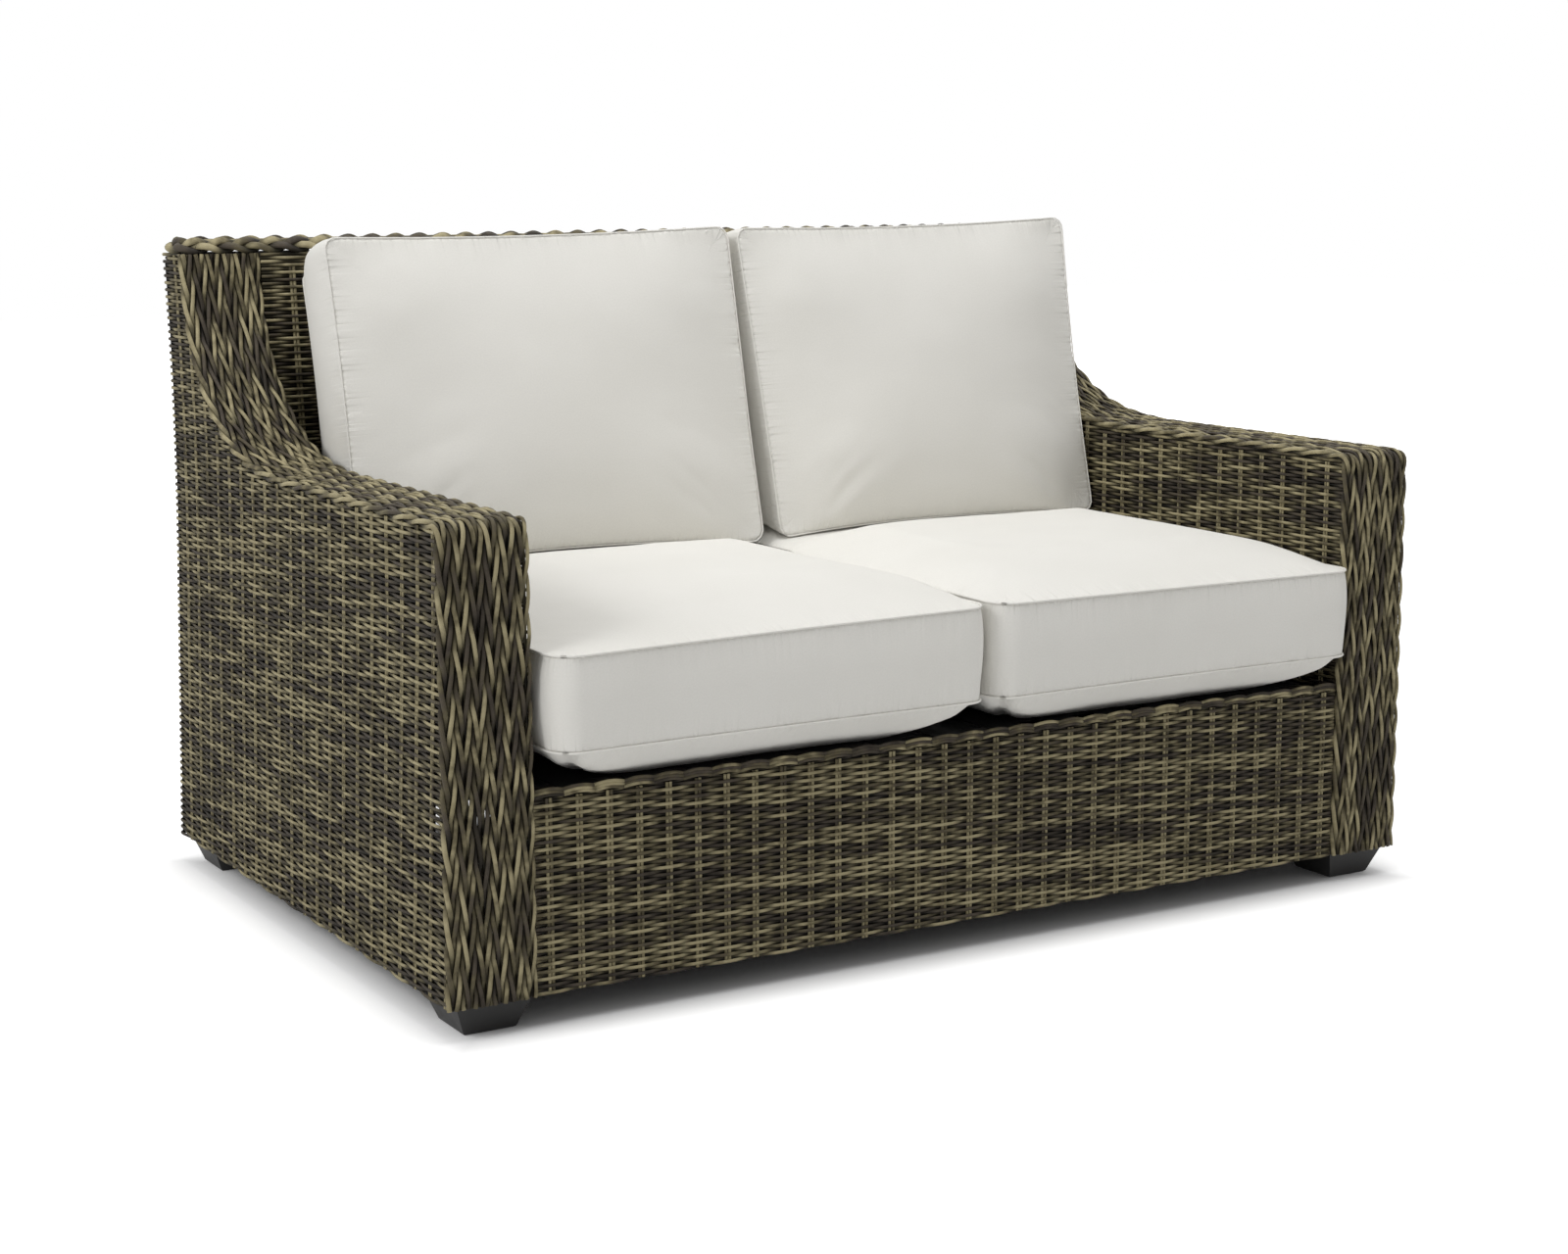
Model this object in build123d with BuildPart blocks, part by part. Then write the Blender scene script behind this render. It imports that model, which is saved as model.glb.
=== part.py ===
from build123d import *
from math import atan2, cos, radians, sin, sqrt, tan
import os

# A two-seat woven patio loveseat: a welded aluminium tube frame clad in woven resin strand, on four
# tapered feet, with two loose seat cushions and two loose back cushions.
# The front faces -Y, +X is to the right and the floor is at zero height.

os.makedirs("parts", exist_ok=True)

# Outside of the woven frame
overall_width = 1445.0
frame_depth = 970.0
arm_width = 115.5
arm_height = 603.0
back_height = 890.0
foot_height = 38.5

# Woven skin, its edging rope and the plaited borders
skin = 10.0
edging = 12.0
front_corner_radius = 22.0
back_border_height = 20.0
back_border_round = 7.0
apron_height = 287.0
apron_border_height = 17.0
apron_recess = 6.0

# Where the arm sweeps up to the back: its end ahead of the rear outline, then turns and radii
swoop_end_inset = 118.0
swoop_turns = (8.0, 27.0, 47.0)
swoop_radius_shares = (3.0, 1.24, 0.9)

# Rear outline: a straight leaning lower part that curls back towards the top
rear_knee_height = 460.0
rear_knee_inset = 37.0
rear_curl_radius = 1900.0

# Inner face of the back, which leans rearwards from the deck to the border
back_lean_run = 52.0

# Aluminium tube
tube = 25.0
tube_wall = 2.0
tube_bend = 40.0
tube_gap = 0.3
seat_rail_width = 40.0
seat_rail_height = 25.0
post_spacing = 300.0

# Webbed deck under the cushions
deck_height = 272.0
strap_thickness = 1.5
strap_width = 50.0
strap_lap = 20.0
strap_pitch = 88.0
strap_margin = 62.0
rivet_radius = 2.4
rivet_head_radius = 4.5
rivet_head_height = 1.2
rivet_play = 0.1

# Feet
foot_bottom_width = 65.0
foot_bottom_depth = 70.0
foot_flare = 15.0
foot_inset_side = 16.0
foot_inset_front = 14.0
foot_edge = 2.0
plate_thickness = 6.0
plate_depth = 52.0
plate_gap = 1.0
screw_radius = 4.0
screw_head_radius = 6.5
screw_head_height = 8.0
screw_seat_depth = 14.0
screw_play = 0.5
thread_play = 0.1

# Cushions
arm_gap = 2.0
middle_gap = 6.0
deck_gap = 0.5
panel_gap = 0.8
cover_thickness = 3.0
core_gap = 0.3
seat_overhang = 38.0
seat_seam_low = 330.0
seat_seam_high = 446.0
seat_crown_height = 48.0
boxing_bulge = 8.0
cushion_corner = 30.0
crown_corner = 80.0
back_rest_height = 474.0
back_seam_lead = 284.0
back_cushion_length = 428.0
back_cushion_lean = 10.6
back_boxing = 150.0
back_front_crown = 42.0
back_rear_draw = 22.0
dent_lead = 32.0

# Zips, sunk in a slot of the cover
zip_length = 470.0
zip_width = 30.0
zip_thickness = 1.5
zip_slot_margin = 2.0
zip_slot_depth = 8.0
slider_length = 12.0
slider_height = 3.5
slider_corner = 1.5
slider_gap = 0.2
slider_end_margin = 10.0

# Each crown's sections: share of its height, of the width, of the depth, and shift as a share of depth
seat_top_shares = ((0.0, 1.0, 1.0, 0.0), (0.62, 0.86, 0.8, -0.05), (1.0, 0.5, 0.42, -0.15))
seat_base_shares = ((0.0, 1.0, 1.0, 0.0), (0.62, 0.9, 0.9, 0.0), (1.0, 0.7, 0.72, 0.0))
back_front_shares = ((0.0, 1.0, 1.0, 0.0), (0.62, 0.86, 0.84, 0.0), (1.0, 0.5, 0.5, 0.0))
back_rear_shares = ((0.0, 1.0, 1.0, 0.0), (0.62, 0.86, 0.86, 0.0), (1.0, 0.5, 0.5, 0.0))

# Boxing sections: share of its height or depth, and share of its bulge or draw
seat_boxing_shares = ((0.0, 0.0), (0.5, 1.0), (1.0, 0.0))
back_boxing_shares = ((0.0, 0.0), (0.5, 0.2), (1.0, 1.0))

# How far a cut runs past the material
overrun = 40.0

# Places worked out from the sizes above
front = (seat_overhang - frame_depth) / 2
rear = front + frame_depth
swoop_end = rear - swoop_end_inset
back_seam = swoop_end - back_seam_lead
side = overall_width / 2
inner_side = side - arm_width
border_low = back_height - back_border_height
swoop_rise = border_low - arm_height
rail_top = deck_height - strap_thickness
side_rail_top = rail_top - strap_thickness
tube_inset = skin + tube_gap + tube / 2
base_line = foot_height + tube / 2
base_top = foot_height + tube
outer_loop_x = side - tube_inset
inner_loop_x = inner_side + tube_inset
top_rail_low = border_low - tube
rear_knee = Vector(rear - rear_knee_inset, rear_knee_height)
rear_lean = atan2(rear_knee_inset, rear_knee_height - foot_height)
rear_normal = Vector(cos(rear_lean), sin(rear_lean))
rear_curl_centre = rear_knee + rear_normal * rear_curl_radius
back_slope = back_lean_run / (border_low - deck_height)


# Run of the swoop along Y, from the flat of the arm to its end under the border
def swoop_run():
    heading = 0.0
    run = 0.0
    rise = 0.0
    for share, turn in zip(swoop_radius_shares, swoop_turns):
        after = heading + radians(turn)
        run += share * swoop_rise * (sin(after) - sin(heading))
        rise += share * swoop_rise * (cos(heading) - cos(after))
        heading = after
    return run + (swoop_rise - rise) / tan(heading)


swoop_start = swoop_end - swoop_run()


# Front face of the inner back at a height
def back_face(height):
    return swoop_end - (border_low - height) * back_slope


# Rear face of the weave at a height, moved forward by an inset
def rear_face(height, inset):
    knee = rear_knee - rear_normal * inset
    if height < knee.Y:
        return knee.X + (knee.Y - height) * tan(rear_lean)
    radius = rear_curl_radius + inset
    return rear_curl_centre.X - sqrt(radius**2 - (height - rear_curl_centre.Y) ** 2)


# Draws the arm's front, rounded corner, flat top and swoop in the side view
def draw_front_and_swoop(inset, bend, low, high):
    drawn = Line((front + inset, low), (front + inset, arm_height - inset - bend))
    drawn = JernArc(start=drawn @ 1, tangent=drawn % 1, radius=bend, arc_size=-90)
    drawn = Line(drawn @ 1, (swoop_start, arm_height - inset))
    for share, turn in zip(swoop_radius_shares, swoop_turns):
        radius = share * swoop_rise + inset
        drawn = JernArc(start=drawn @ 1, tangent=drawn % 1, radius=radius, arc_size=turn)
    end = drawn @ 1
    drawn = Line(end, (end.X + (high - end.Y) / tan(radians(sum(swoop_turns))), high))
    return drawn @ 1


# Draws the rear outline in the side view, from low to high
def draw_rear(inset, low, high):
    knee = rear_knee - rear_normal * inset
    middle = (knee.Y + high) / 2
    Line((rear_face(low, inset), low), knee)
    ThreePointArc(knee, (rear_face(middle, inset), middle), (rear_face(high, inset), high))


# Draws the closed side view of an arm, with its front and rear edges moved in
def draw_side(front_inset, rear_inset, low):
    with BuildLine() as outline:
        bend = front_corner_radius - front_inset
        top = draw_front_and_swoop(front_inset, bend, low, border_low)
        draw_rear(rear_inset, low, border_low)
        Line(top, (rear_face(border_low, rear_inset), border_low))
        Line((front + front_inset, low), (rear_face(low, rear_inset), low))
    make_face(outline.edges())


# Route of an edging rope or a bent tube, as a wire in the side view at a given X
def side_route(x, inset, bend, low, high, foot_start=None):
    with BuildLine() as route:
        if foot_start is not None:
            start = (foot_start, low)
            base = Line(start, (front + inset + bend, low))
            JernArc(start=base @ 1, tangent=base % 1, radius=bend, arc_size=-90)
            low = low + bend
        draw_front_and_swoop(inset, bend, low, high)
    return route.wire().moved(Plane.YZ.offset(x).location)


# Hollow square tube along a route
def tube_along(path):
    with BuildSketch(Plane(origin=path @ 0, x_dir=(1, 0, 0), z_dir=path % 0)) as section:
        Rectangle(tube, tube)
        Rectangle(tube - 2 * tube_wall, tube - 2 * tube_wall, mode=Mode.SUBTRACT)
    sweep(section.sketch, path=path)


# Straight hollow tube between two ends of a sketch plane
def straight_tube(plane, length, width, depth):
    with BuildSketch(plane) as section:
        Rectangle(width, depth)
        Rectangle(width - 2 * tube_wall, depth - 2 * tube_wall, mode=Mode.SUBTRACT)
    extrude(section.sketch, amount=length)


# Writes a piece, and its mirror image for the other side where a second name is given
def save(piece, name, mirrored=None):
    piece.label = name
    export_step(piece, f"parts/{name}.step")
    if mirrored:
        twin = mirror(piece, about=Plane.YZ)
        twin.label = mirrored
        export_step(twin, f"parts/{mirrored}.step")


# Bent tube loops of the arms: along the base, up the front, over the arm and up to the back
for name, loop_x, back_end in (
    ("arm_loop_outer", outer_loop_x, None),
    ("arm_loop_inner", inner_loop_x, rear_face(base_top, skin) - tube_gap - tube),
):
    with BuildPart() as arm_loop:
        path = side_route(-loop_x, tube_inset, tube_bend, base_line, border_low, foot_start=rear)
        tube_along(path)
        # The top ends under the back's top rail
        with BuildSketch(Plane.XY.offset(top_rail_low)):
            Rectangle(2 * overall_width, 2 * frame_depth)
        extrude(amount=2 * tube, mode=Mode.SUBTRACT)
        # The base ends at the rear post, or at the rear lower rail
        with BuildSketch(Plane.YZ.offset(-loop_x - tube)):
            with BuildLine():
                if back_end is None:
                    post_front = tube_inset + tube / 2
                    draw_rear(post_front, foot_height, top_rail_low)
                    corner = (rear_face(foot_height, post_front), foot_height)
                    upper = (rear_face(top_rail_low, post_front), top_rail_low)
                    Polyline(upper, (rear + tube, top_rail_low), (rear + tube, foot_height), corner)
                else:
                    limit = base_line + tube
                    Polyline(
                        (back_end, foot_height),
                        (rear + tube, foot_height),
                        (rear + tube, limit),
                        (back_end, limit),
                        close=True,
                    )
            make_face()
        extrude(amount=2 * tube, mode=Mode.SUBTRACT)
    save(arm_loop.part, f"{name}_left", f"{name}_right")

# Rear corner posts, bent to the rear outline
with BuildLine() as rear_route:
    draw_rear(tube_inset, foot_height, top_rail_low)
post_path = rear_route.wire().moved(Plane.YZ.offset(-outer_loop_x).location)
with BuildPart() as rear_post:
    tube_along(post_path)
    with BuildSketch(Plane.XY.offset(top_rail_low)):
        Rectangle(2 * overall_width, 2 * frame_depth)
    extrude(amount=tube, mode=Mode.SUBTRACT)
    with BuildSketch(Plane.XY.offset(foot_height)):
        Rectangle(2 * overall_width, 2 * frame_depth)
    extrude(amount=-tube, mode=Mode.SUBTRACT)
save(rear_post.part, "rear_post_left", "rear_post_right")

# Top rails of the back, one behind the inner weave and one in front of the rear weave
rail_reach = outer_loop_x + tube / 2
top_rail_middle = border_low - tube / 2
top_front_y = back_face(border_low) + edging / sin(radians(sum(swoop_turns))) + tube_gap + tube / 2
top_rear_y = rear_face(top_rail_low, skin) - tube_gap - tube / 2
for name, rail_y in (("back_top_rail_front", top_front_y), ("back_top_rail_rear", top_rear_y)):
    with BuildPart() as top_rail:
        plane = Plane(origin=(-rail_reach, rail_y, top_rail_middle), x_dir=(0, 1, 0), z_dir=(1, 0, 0))
        straight_tube(plane, 2 * rail_reach, tube, tube)
    save(top_rail.part, name)

# Lower rails across the base
base_front_y = front + apron_recess + skin + tube / 2
base_rear_y = rear_face(base_top, skin) - tube_gap - tube / 2
front_rail_reach = inner_loop_x - tube / 2
rear_rail_reach = outer_loop_x - tube / 2
with BuildPart() as front_lower_rail:
    plane = Plane(origin=(-front_rail_reach, base_front_y, base_line), x_dir=(0, 1, 0), z_dir=(1, 0, 0))
    straight_tube(plane, 2 * front_rail_reach, tube, tube)
save(front_lower_rail.part, "front_lower_rail")

with BuildPart() as rear_lower_rail:
    plane = Plane(origin=(-rear_rail_reach, base_rear_y, base_line), x_dir=(0, 1, 0), z_dir=(1, 0, 0))
    straight_tube(plane, 2 * rear_rail_reach, tube, tube)
save(rear_lower_rail.part, "rear_lower_rail")

# Places of the webbing straps: lengthwise ones run along X, crosswise ones along Y
front_rail_y = front + apron_recess + skin + seat_rail_width / 2
rear_rail_y = back_face(deck_height) - strap_lap + seat_rail_width / 2
strap_front = front_rail_y - seat_rail_width / 2 + strap_lap / 2
strap_rear = back_face(deck_height)
side_strap_end = inner_side - strap_thickness
cross_count = int((2 * inner_side - 2 * strap_margin) / strap_pitch) + 1
length_count = int((strap_rear - strap_front - 2 * strap_margin) / strap_pitch) + 1
deck_middle = (strap_front + strap_rear) / 2
rivet_front = strap_front + strap_lap / 2
rivet_rear = strap_rear - strap_lap / 2
rivet_side = side_strap_end - strap_lap / 2
cross_spots = [(x - (cross_count - 1) / 2) * strap_pitch for x in range(cross_count)]
length_spots = [deck_middle + (y - (length_count - 1) / 2) * strap_pitch for y in range(length_count)]
cross_rivets = [(x, y) for x in cross_spots for y in (rivet_front, rivet_rear)]
length_rivets = [(x, y) for y in length_spots for x in (-rivet_side, rivet_side)]
rivet_length = strap_thickness + tube_wall

# Seat rails, with holes for the webbing rivets
rivet_hole = rivet_radius + rivet_play
rear_rail_half = inner_loop_x + tube / 2
for name, half, rail_y in (
    ("front_seat_rail", front_rail_reach, front_rail_y),
    ("rear_seat_rail", rear_rail_half, rear_rail_y),
):
    with BuildPart() as cross_rail:
        middle = rail_top - seat_rail_height / 2
        plane = Plane(origin=(-half, rail_y, middle), x_dir=(0, 1, 0), z_dir=(1, 0, 0))
        straight_tube(plane, 2 * half, seat_rail_width, seat_rail_height)
        with BuildSketch(Plane.XY.offset(rail_top)):
            with Locations(*cross_rivets):
                Circle(rivet_hole)
        extrude(amount=-seat_rail_height / 2, mode=Mode.SUBTRACT)
    save(cross_rail.part, name)

side_rail_x = front_rail_reach - seat_rail_width / 2
side_rail_start = front_rail_y + seat_rail_width / 2
side_rail_end = rear_rail_y - seat_rail_width / 2
side_rail_length = side_rail_end - side_rail_start
side_rail_middle = side_rail_top - seat_rail_height / 2
with BuildPart() as side_rail:
    plane = Plane(origin=(-side_rail_x, side_rail_start, side_rail_middle), x_dir=(1, 0, 0), z_dir=(0, 1, 0))
    straight_tube(plane, side_rail_length, seat_rail_width, seat_rail_height)
    with BuildSketch(Plane.XY.offset(side_rail_top)):
        with Locations(*length_rivets):
            Circle(rivet_hole)
    extrude(amount=-seat_rail_height / 2, mode=Mode.SUBTRACT)
save(side_rail.part, "seat_side_rail_left", "seat_side_rail_right")

with BuildPart() as centre_rail:
    plane = Plane(origin=(0, side_rail_start, side_rail_middle), x_dir=(1, 0, 0), z_dir=(0, 1, 0))
    straight_tube(plane, side_rail_length, tube, seat_rail_height)
save(centre_rail.part, "seat_centre_rail")

# Short posts that stand on the base and carry the seat rails
post_height = rail_top - seat_rail_height - base_top
with BuildPart() as seat_posts:
    posts = [(x, base_front_y) for x in (-post_spacing, 0, post_spacing)]
    posts += [(x, rear_rail_y) for x in (-inner_loop_x, inner_loop_x)]
    with BuildSketch(Plane.XY.offset(base_top)):
        with Locations(*posts):
            Rectangle(tube, tube)
            Rectangle(tube - 2 * tube_wall, tube - 2 * tube_wall, mode=Mode.SUBTRACT)
    extrude(amount=post_height)
save(seat_posts.part, "seat_rail_posts")

# Leaning uprights behind the inner back, from the rear seat rail to the top rail
upright_y = back_face(rail_top) + skin + tube / 2
upright_rise = top_rail_low - rail_top
upright_run = upright_rise * back_slope
with BuildPart() as uprights:
    with BuildSketch(Plane.XY.offset(rail_top)):
        with Locations(*[(x, upright_y) for x in (-side_rail_x, 0, side_rail_x)]):
            Rectangle(tube, tube)
            Rectangle(tube - 2 * tube_wall, tube - 2 * tube_wall, mode=Mode.SUBTRACT)
    extrude(amount=sqrt(upright_rise**2 + upright_run**2), dir=(0, upright_run, upright_rise))
save(uprights.part, "back_uprights")

# Places of the feet, whose top is as wide as the foot flares
foot_top_width = foot_bottom_width + 2 * foot_flare
foot_top_depth = foot_bottom_depth + 2 * foot_flare
foot_x = side - foot_inset_side - foot_top_width / 2
foot_front_y = front + foot_inset_front + foot_top_depth / 2
foot_rear_y = rear - foot_inset_front - foot_top_depth / 2

# Short spreaders between the outer and inner loop of an arm, and between the two top rails
spreader_length = outer_loop_x - inner_loop_x - tube
spreader_x = -inner_loop_x - tube / 2
arm_line = arm_height - tube_inset
spreader_places = (
    (front + tube_inset, (base_line + arm_line) / 2),
    (foot_front_y + plate_depth / 2 + plate_gap + tube / 2, base_line),
    (front + tube_inset + tube_bend + tube, arm_line),
    (swoop_start - tube, arm_line),
    (rear_rail_y - 2 * tube, base_line),
)
top_gap = top_rear_y - top_front_y - tube
with BuildPart() as spreaders:
    for place_y, place_z in spreader_places:
        plane = Plane(origin=(spreader_x, place_y, place_z), x_dir=(0, 1, 0), z_dir=(-1, 0, 0))
        straight_tube(plane, spreader_length, tube, tube)
    with BuildSketch(Plane.XZ.offset(-top_front_y - tube / 2)):
        with Locations((-outer_loop_x, top_rail_middle)):
            Rectangle(tube, tube)
    extrude(amount=-top_gap)
save(spreaders.part, "arm_spreaders_left", "arm_spreaders_right")

# Outer woven side of an arm, between the edging rope and the rear weave
with BuildPart() as outer_side:
    with BuildSketch(Plane.YZ.offset(-side)):
        draw_side(edging, skin, foot_height)
    extrude(amount=skin)
save(outer_side.part, "outer_side_weave_left", "outer_side_weave_right")

# Inner woven side, from the deck up, ending behind the inner back
with BuildPart() as inner_weave:
    with BuildSketch(Plane.YZ.offset(-inner_side - skin)):
        draw_side(edging, skin, rail_top)
        with BuildLine():
            Polyline(
                (back_face(rail_top - overrun) + skin, rail_top - overrun),
                (rear + overrun, rail_top - overrun),
                (rear + overrun, border_low + overrun),
                (back_face(border_low + overrun) + skin, border_low + overrun),
                close=True,
            )
        make_face(mode=Mode.SUBTRACT)
    extrude(amount=skin)
save(inner_weave.part, "inner_side_weave_left", "inner_side_weave_right")

# Band over the front and top of an arm, between its two edging ropes
with BuildPart() as arm_band:
    with BuildSketch(Plane.YZ.offset(-side + edging)):
        draw_side(0, 0, foot_height)
        with BuildLine():
            bend = front_corner_radius - skin
            top = draw_front_and_swoop(skin, bend, foot_height, border_low)
            far = rear + overrun
            Polyline(top, (far, border_low), (far, foot_height), (front + skin, foot_height))
        make_face(mode=Mode.SUBTRACT)
    extrude(amount=arm_width - 2 * edging)
save(arm_band.part, "arm_band_left", "arm_band_right")

# Edging ropes along both edges of the band
for name, rope_x in (("outer_edging", side - edging / 2), ("inner_edging", inner_side + edging / 2)):
    with BuildPart() as rope:
        bend = front_corner_radius - edging / 2
        path = side_route(-rope_x, edging / 2, bend, foot_height, border_low)
        with BuildSketch(Plane(origin=path @ 0, x_dir=(1, 0, 0), z_dir=path % 0)):
            Circle(edging / 2)
        sweep(path=path)
        with BuildSketch(Plane.XY.offset(border_low)):
            Rectangle(2 * overall_width, 2 * frame_depth)
        extrude(amount=edging, mode=Mode.SUBTRACT)
    save(rope.part, f"{name}_left", f"{name}_right")

# Rear weave over the full width
with BuildPart() as back_outer:
    with BuildSketch(Plane.YZ.offset(-side)):
        with BuildLine():
            draw_rear(0, foot_height, border_low)
            draw_rear(skin, foot_height, border_low)
            for height in (foot_height, border_low):
                Line((rear_face(height, 0), height), (rear_face(height, skin), height))
        make_face()
    extrude(amount=overall_width)
save(back_outer.part, "back_outer_weave")

# Inner weave of the back, between the arms
with BuildPart() as back_inner:
    with BuildSketch(Plane.YZ.offset(-inner_side)):
        with BuildLine():
            Polyline(
                (back_face(deck_height), deck_height),
                (back_face(deck_height) + skin, deck_height),
                (back_face(border_low) + skin, border_low),
                (back_face(border_low), border_low),
                close=True,
            )
        make_face()
    extrude(amount=2 * inner_side)
save(back_inner.part, "back_inner_weave")

# Plaited border that caps the back
cap_front = back_face(border_low)
cap_rear = rear_face(border_low, 0)
with BuildPart() as back_border:
    with BuildSketch(Plane.YZ.offset(-side)):
        with Locations(((cap_front + cap_rear) / 2, border_low + back_border_height / 2)):
            Rectangle(cap_rear - cap_front, back_border_height)
    extrude(amount=overall_width)
    upper_edges = back_border.edges().filter_by(Axis.X).group_by(Axis.Z)[-1]
    fillet(upper_edges, radius=back_border_round)
save(back_border.part, "back_top_border")

# Apron under the seat and its plaited border
apron_front = front + apron_recess
apron_border_low = apron_height - apron_border_height
with BuildPart() as apron:
    with BuildSketch(Plane.XY.offset(foot_height)):
        with Locations((0, apron_front + skin / 2)):
            Rectangle(2 * inner_side, skin)
    extrude(amount=apron_border_low - foot_height)
save(apron.part, "apron_weave")

with BuildPart() as apron_border:
    with BuildSketch(Plane.YZ.offset(-inner_side)):
        with Locations((apron_front + skin / 2, apron_border_low + apron_border_height / 2)):
            RectangleRounded(skin, apron_border_height, skin / 2 - rivet_play)
    extrude(amount=2 * inner_side)
save(apron_border.part, "apron_top_border")

# Webbing: lengthwise straps below, crosswise straps above, riveted to the seat rails
with BuildPart() as length_straps:
    with BuildSketch(Plane.XY.offset(side_rail_top)):
        with Locations(*[(0, y) for y in length_spots]):
            Rectangle(2 * side_strap_end, strap_width)
        with Locations(*length_rivets):
            Circle(rivet_hole, mode=Mode.SUBTRACT)
    extrude(amount=strap_thickness)
save(length_straps.part, "webbing_lengthwise")

with BuildPart() as cross_straps:
    with BuildSketch(Plane.XY.offset(rail_top)):
        with Locations(*[(x, deck_middle) for x in cross_spots]):
            Rectangle(strap_width, strap_rear - strap_front)
        with Locations(*cross_rivets):
            Circle(rivet_hole, mode=Mode.SUBTRACT)
    extrude(amount=strap_thickness)
save(cross_straps.part, "webbing_crosswise")

with BuildPart() as rivets:
    for height, spots in ((rail_top, length_rivets), (deck_height, cross_rivets)):
        with BuildSketch(Plane.XY.offset(height)):
            with Locations(*spots):
                Circle(rivet_radius)
        extrude(amount=-rivet_length)
        with BuildSketch(Plane.XY.offset(height)):
            with Locations(*spots):
                Circle(rivet_head_radius)
        extrude(amount=rivet_head_height)
save(rivets.part, "webbing_rivets")

# Tapered feet, with a counterbored hole for the foot screw
for name, foot_y in (("foot_front", foot_front_y), ("foot_rear", foot_rear_y)):
    with BuildPart() as foot:
        with BuildSketch(Plane((-foot_x, foot_y, 0))):
            Rectangle(foot_bottom_width, foot_bottom_depth)
        with BuildSketch(Plane((-foot_x, foot_y, foot_height))):
            Rectangle(foot_top_width, foot_top_depth)
        loft(ruled=True)
        chamfer(foot.edges().group_by(Axis.Z)[0], length=foot_edge)
        with BuildSketch(Plane((-foot_x, foot_y, 0))):
            Circle(screw_head_radius + screw_play)
        extrude(amount=screw_seat_depth, mode=Mode.SUBTRACT)
        with BuildSketch(Plane((-foot_x, foot_y, 0))):
            Circle(screw_radius + screw_play)
        extrude(amount=foot_height, mode=Mode.SUBTRACT)
    save(foot.part, f"{name}_left", f"{name}_right")

# Threaded plates between the two loops of each arm, and the screws that hold the feet to them
plate_width = outer_loop_x - inner_loop_x - tube
plate_x = (outer_loop_x + inner_loop_x) / 2
foot_spots = [(x, y) for x in (-foot_x, foot_x) for y in (foot_front_y, foot_rear_y)]
with BuildPart() as foot_plates:
    with BuildSketch(Plane.XY.offset(foot_height)):
        with Locations(*[(x, y) for x in (-plate_x, plate_x) for y in (foot_front_y, foot_rear_y)]):
            Rectangle(plate_width, plate_depth)
        with Locations(*foot_spots):
            Circle(screw_radius + thread_play, mode=Mode.SUBTRACT)
    extrude(amount=plate_thickness)
save(foot_plates.part, "foot_plates")

screw_seat = screw_seat_depth - screw_head_height
with BuildPart() as screws:
    with BuildSketch(Plane.XY.offset(screw_seat)):
        with Locations(*foot_spots):
            Circle(screw_head_radius)
    extrude(amount=screw_head_height)
    with BuildSketch(Plane.XY.offset(screw_seat_depth)):
        with Locations(*foot_spots):
            Circle(screw_radius)
    extrude(amount=foot_height + plate_thickness - screw_seat_depth)
    socket = screw_head_radius - screw_radius
    with BuildSketch(Plane.XY.offset(screw_seat)):
        with Locations(*foot_spots):
            RegularPolygon(radius=socket, side_count=6)
    extrude(amount=screw_head_height / 2, mode=Mode.SUBTRACT)
save(screws.part, "foot_screws")

# Cushions: the two of one side, each a cover with its filling, zip tape and slider
cushion_width = inner_side - arm_gap - middle_gap / 2
cushion_x = -(inner_side - arm_gap + middle_gap / 2) / 2
seat_front = front - seat_overhang
seat_rear = back_face(seat_seam_low) - panel_gap
seat_depth = seat_rear - seat_front
seat_middle = (seat_front + seat_rear) / 2
seat_top = seat_seam_high + seat_crown_height
seat_base = deck_height + deck_gap
seat_plane = Plane((cushion_x, seat_middle, 0))

lean = radians(back_cushion_lean)
back_plane = Plane(
    origin=(cushion_x, back_seam, back_rest_height),
    x_dir=(1, 0, 0),
    z_dir=(0, -cos(lean), sin(lean)),
)
# The rear crown reaches back until it just misses the inner weave
crown_half = back_cushion_length * (1 + back_rear_shares[-1][2]) / 2
crown_y = back_seam + crown_half * sin(lean)
crown_z = back_rest_height + crown_half * cos(lean)
back_reach = (back_face(crown_z) - panel_gap - crown_y) / (cos(lean) + back_slope * sin(lean))
back_rear_crown = back_reach - back_boxing


# One crown of a cushion: sections from the seam outline to its flat top, lofted
def crown(plane, start, rise, width, depth, shares):
    sections = []
    for height, wide, deep, shift in shares:
        corner = cushion_corner + height * (crown_corner - cushion_corner)
        with BuildSketch(plane.offset(start + height * rise)) as section:
            with Locations((0, shift * depth)):
                RectangleRounded(wide * width, deep * depth, corner)
        sections.append(section.sketch)
    loft(sections)


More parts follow.
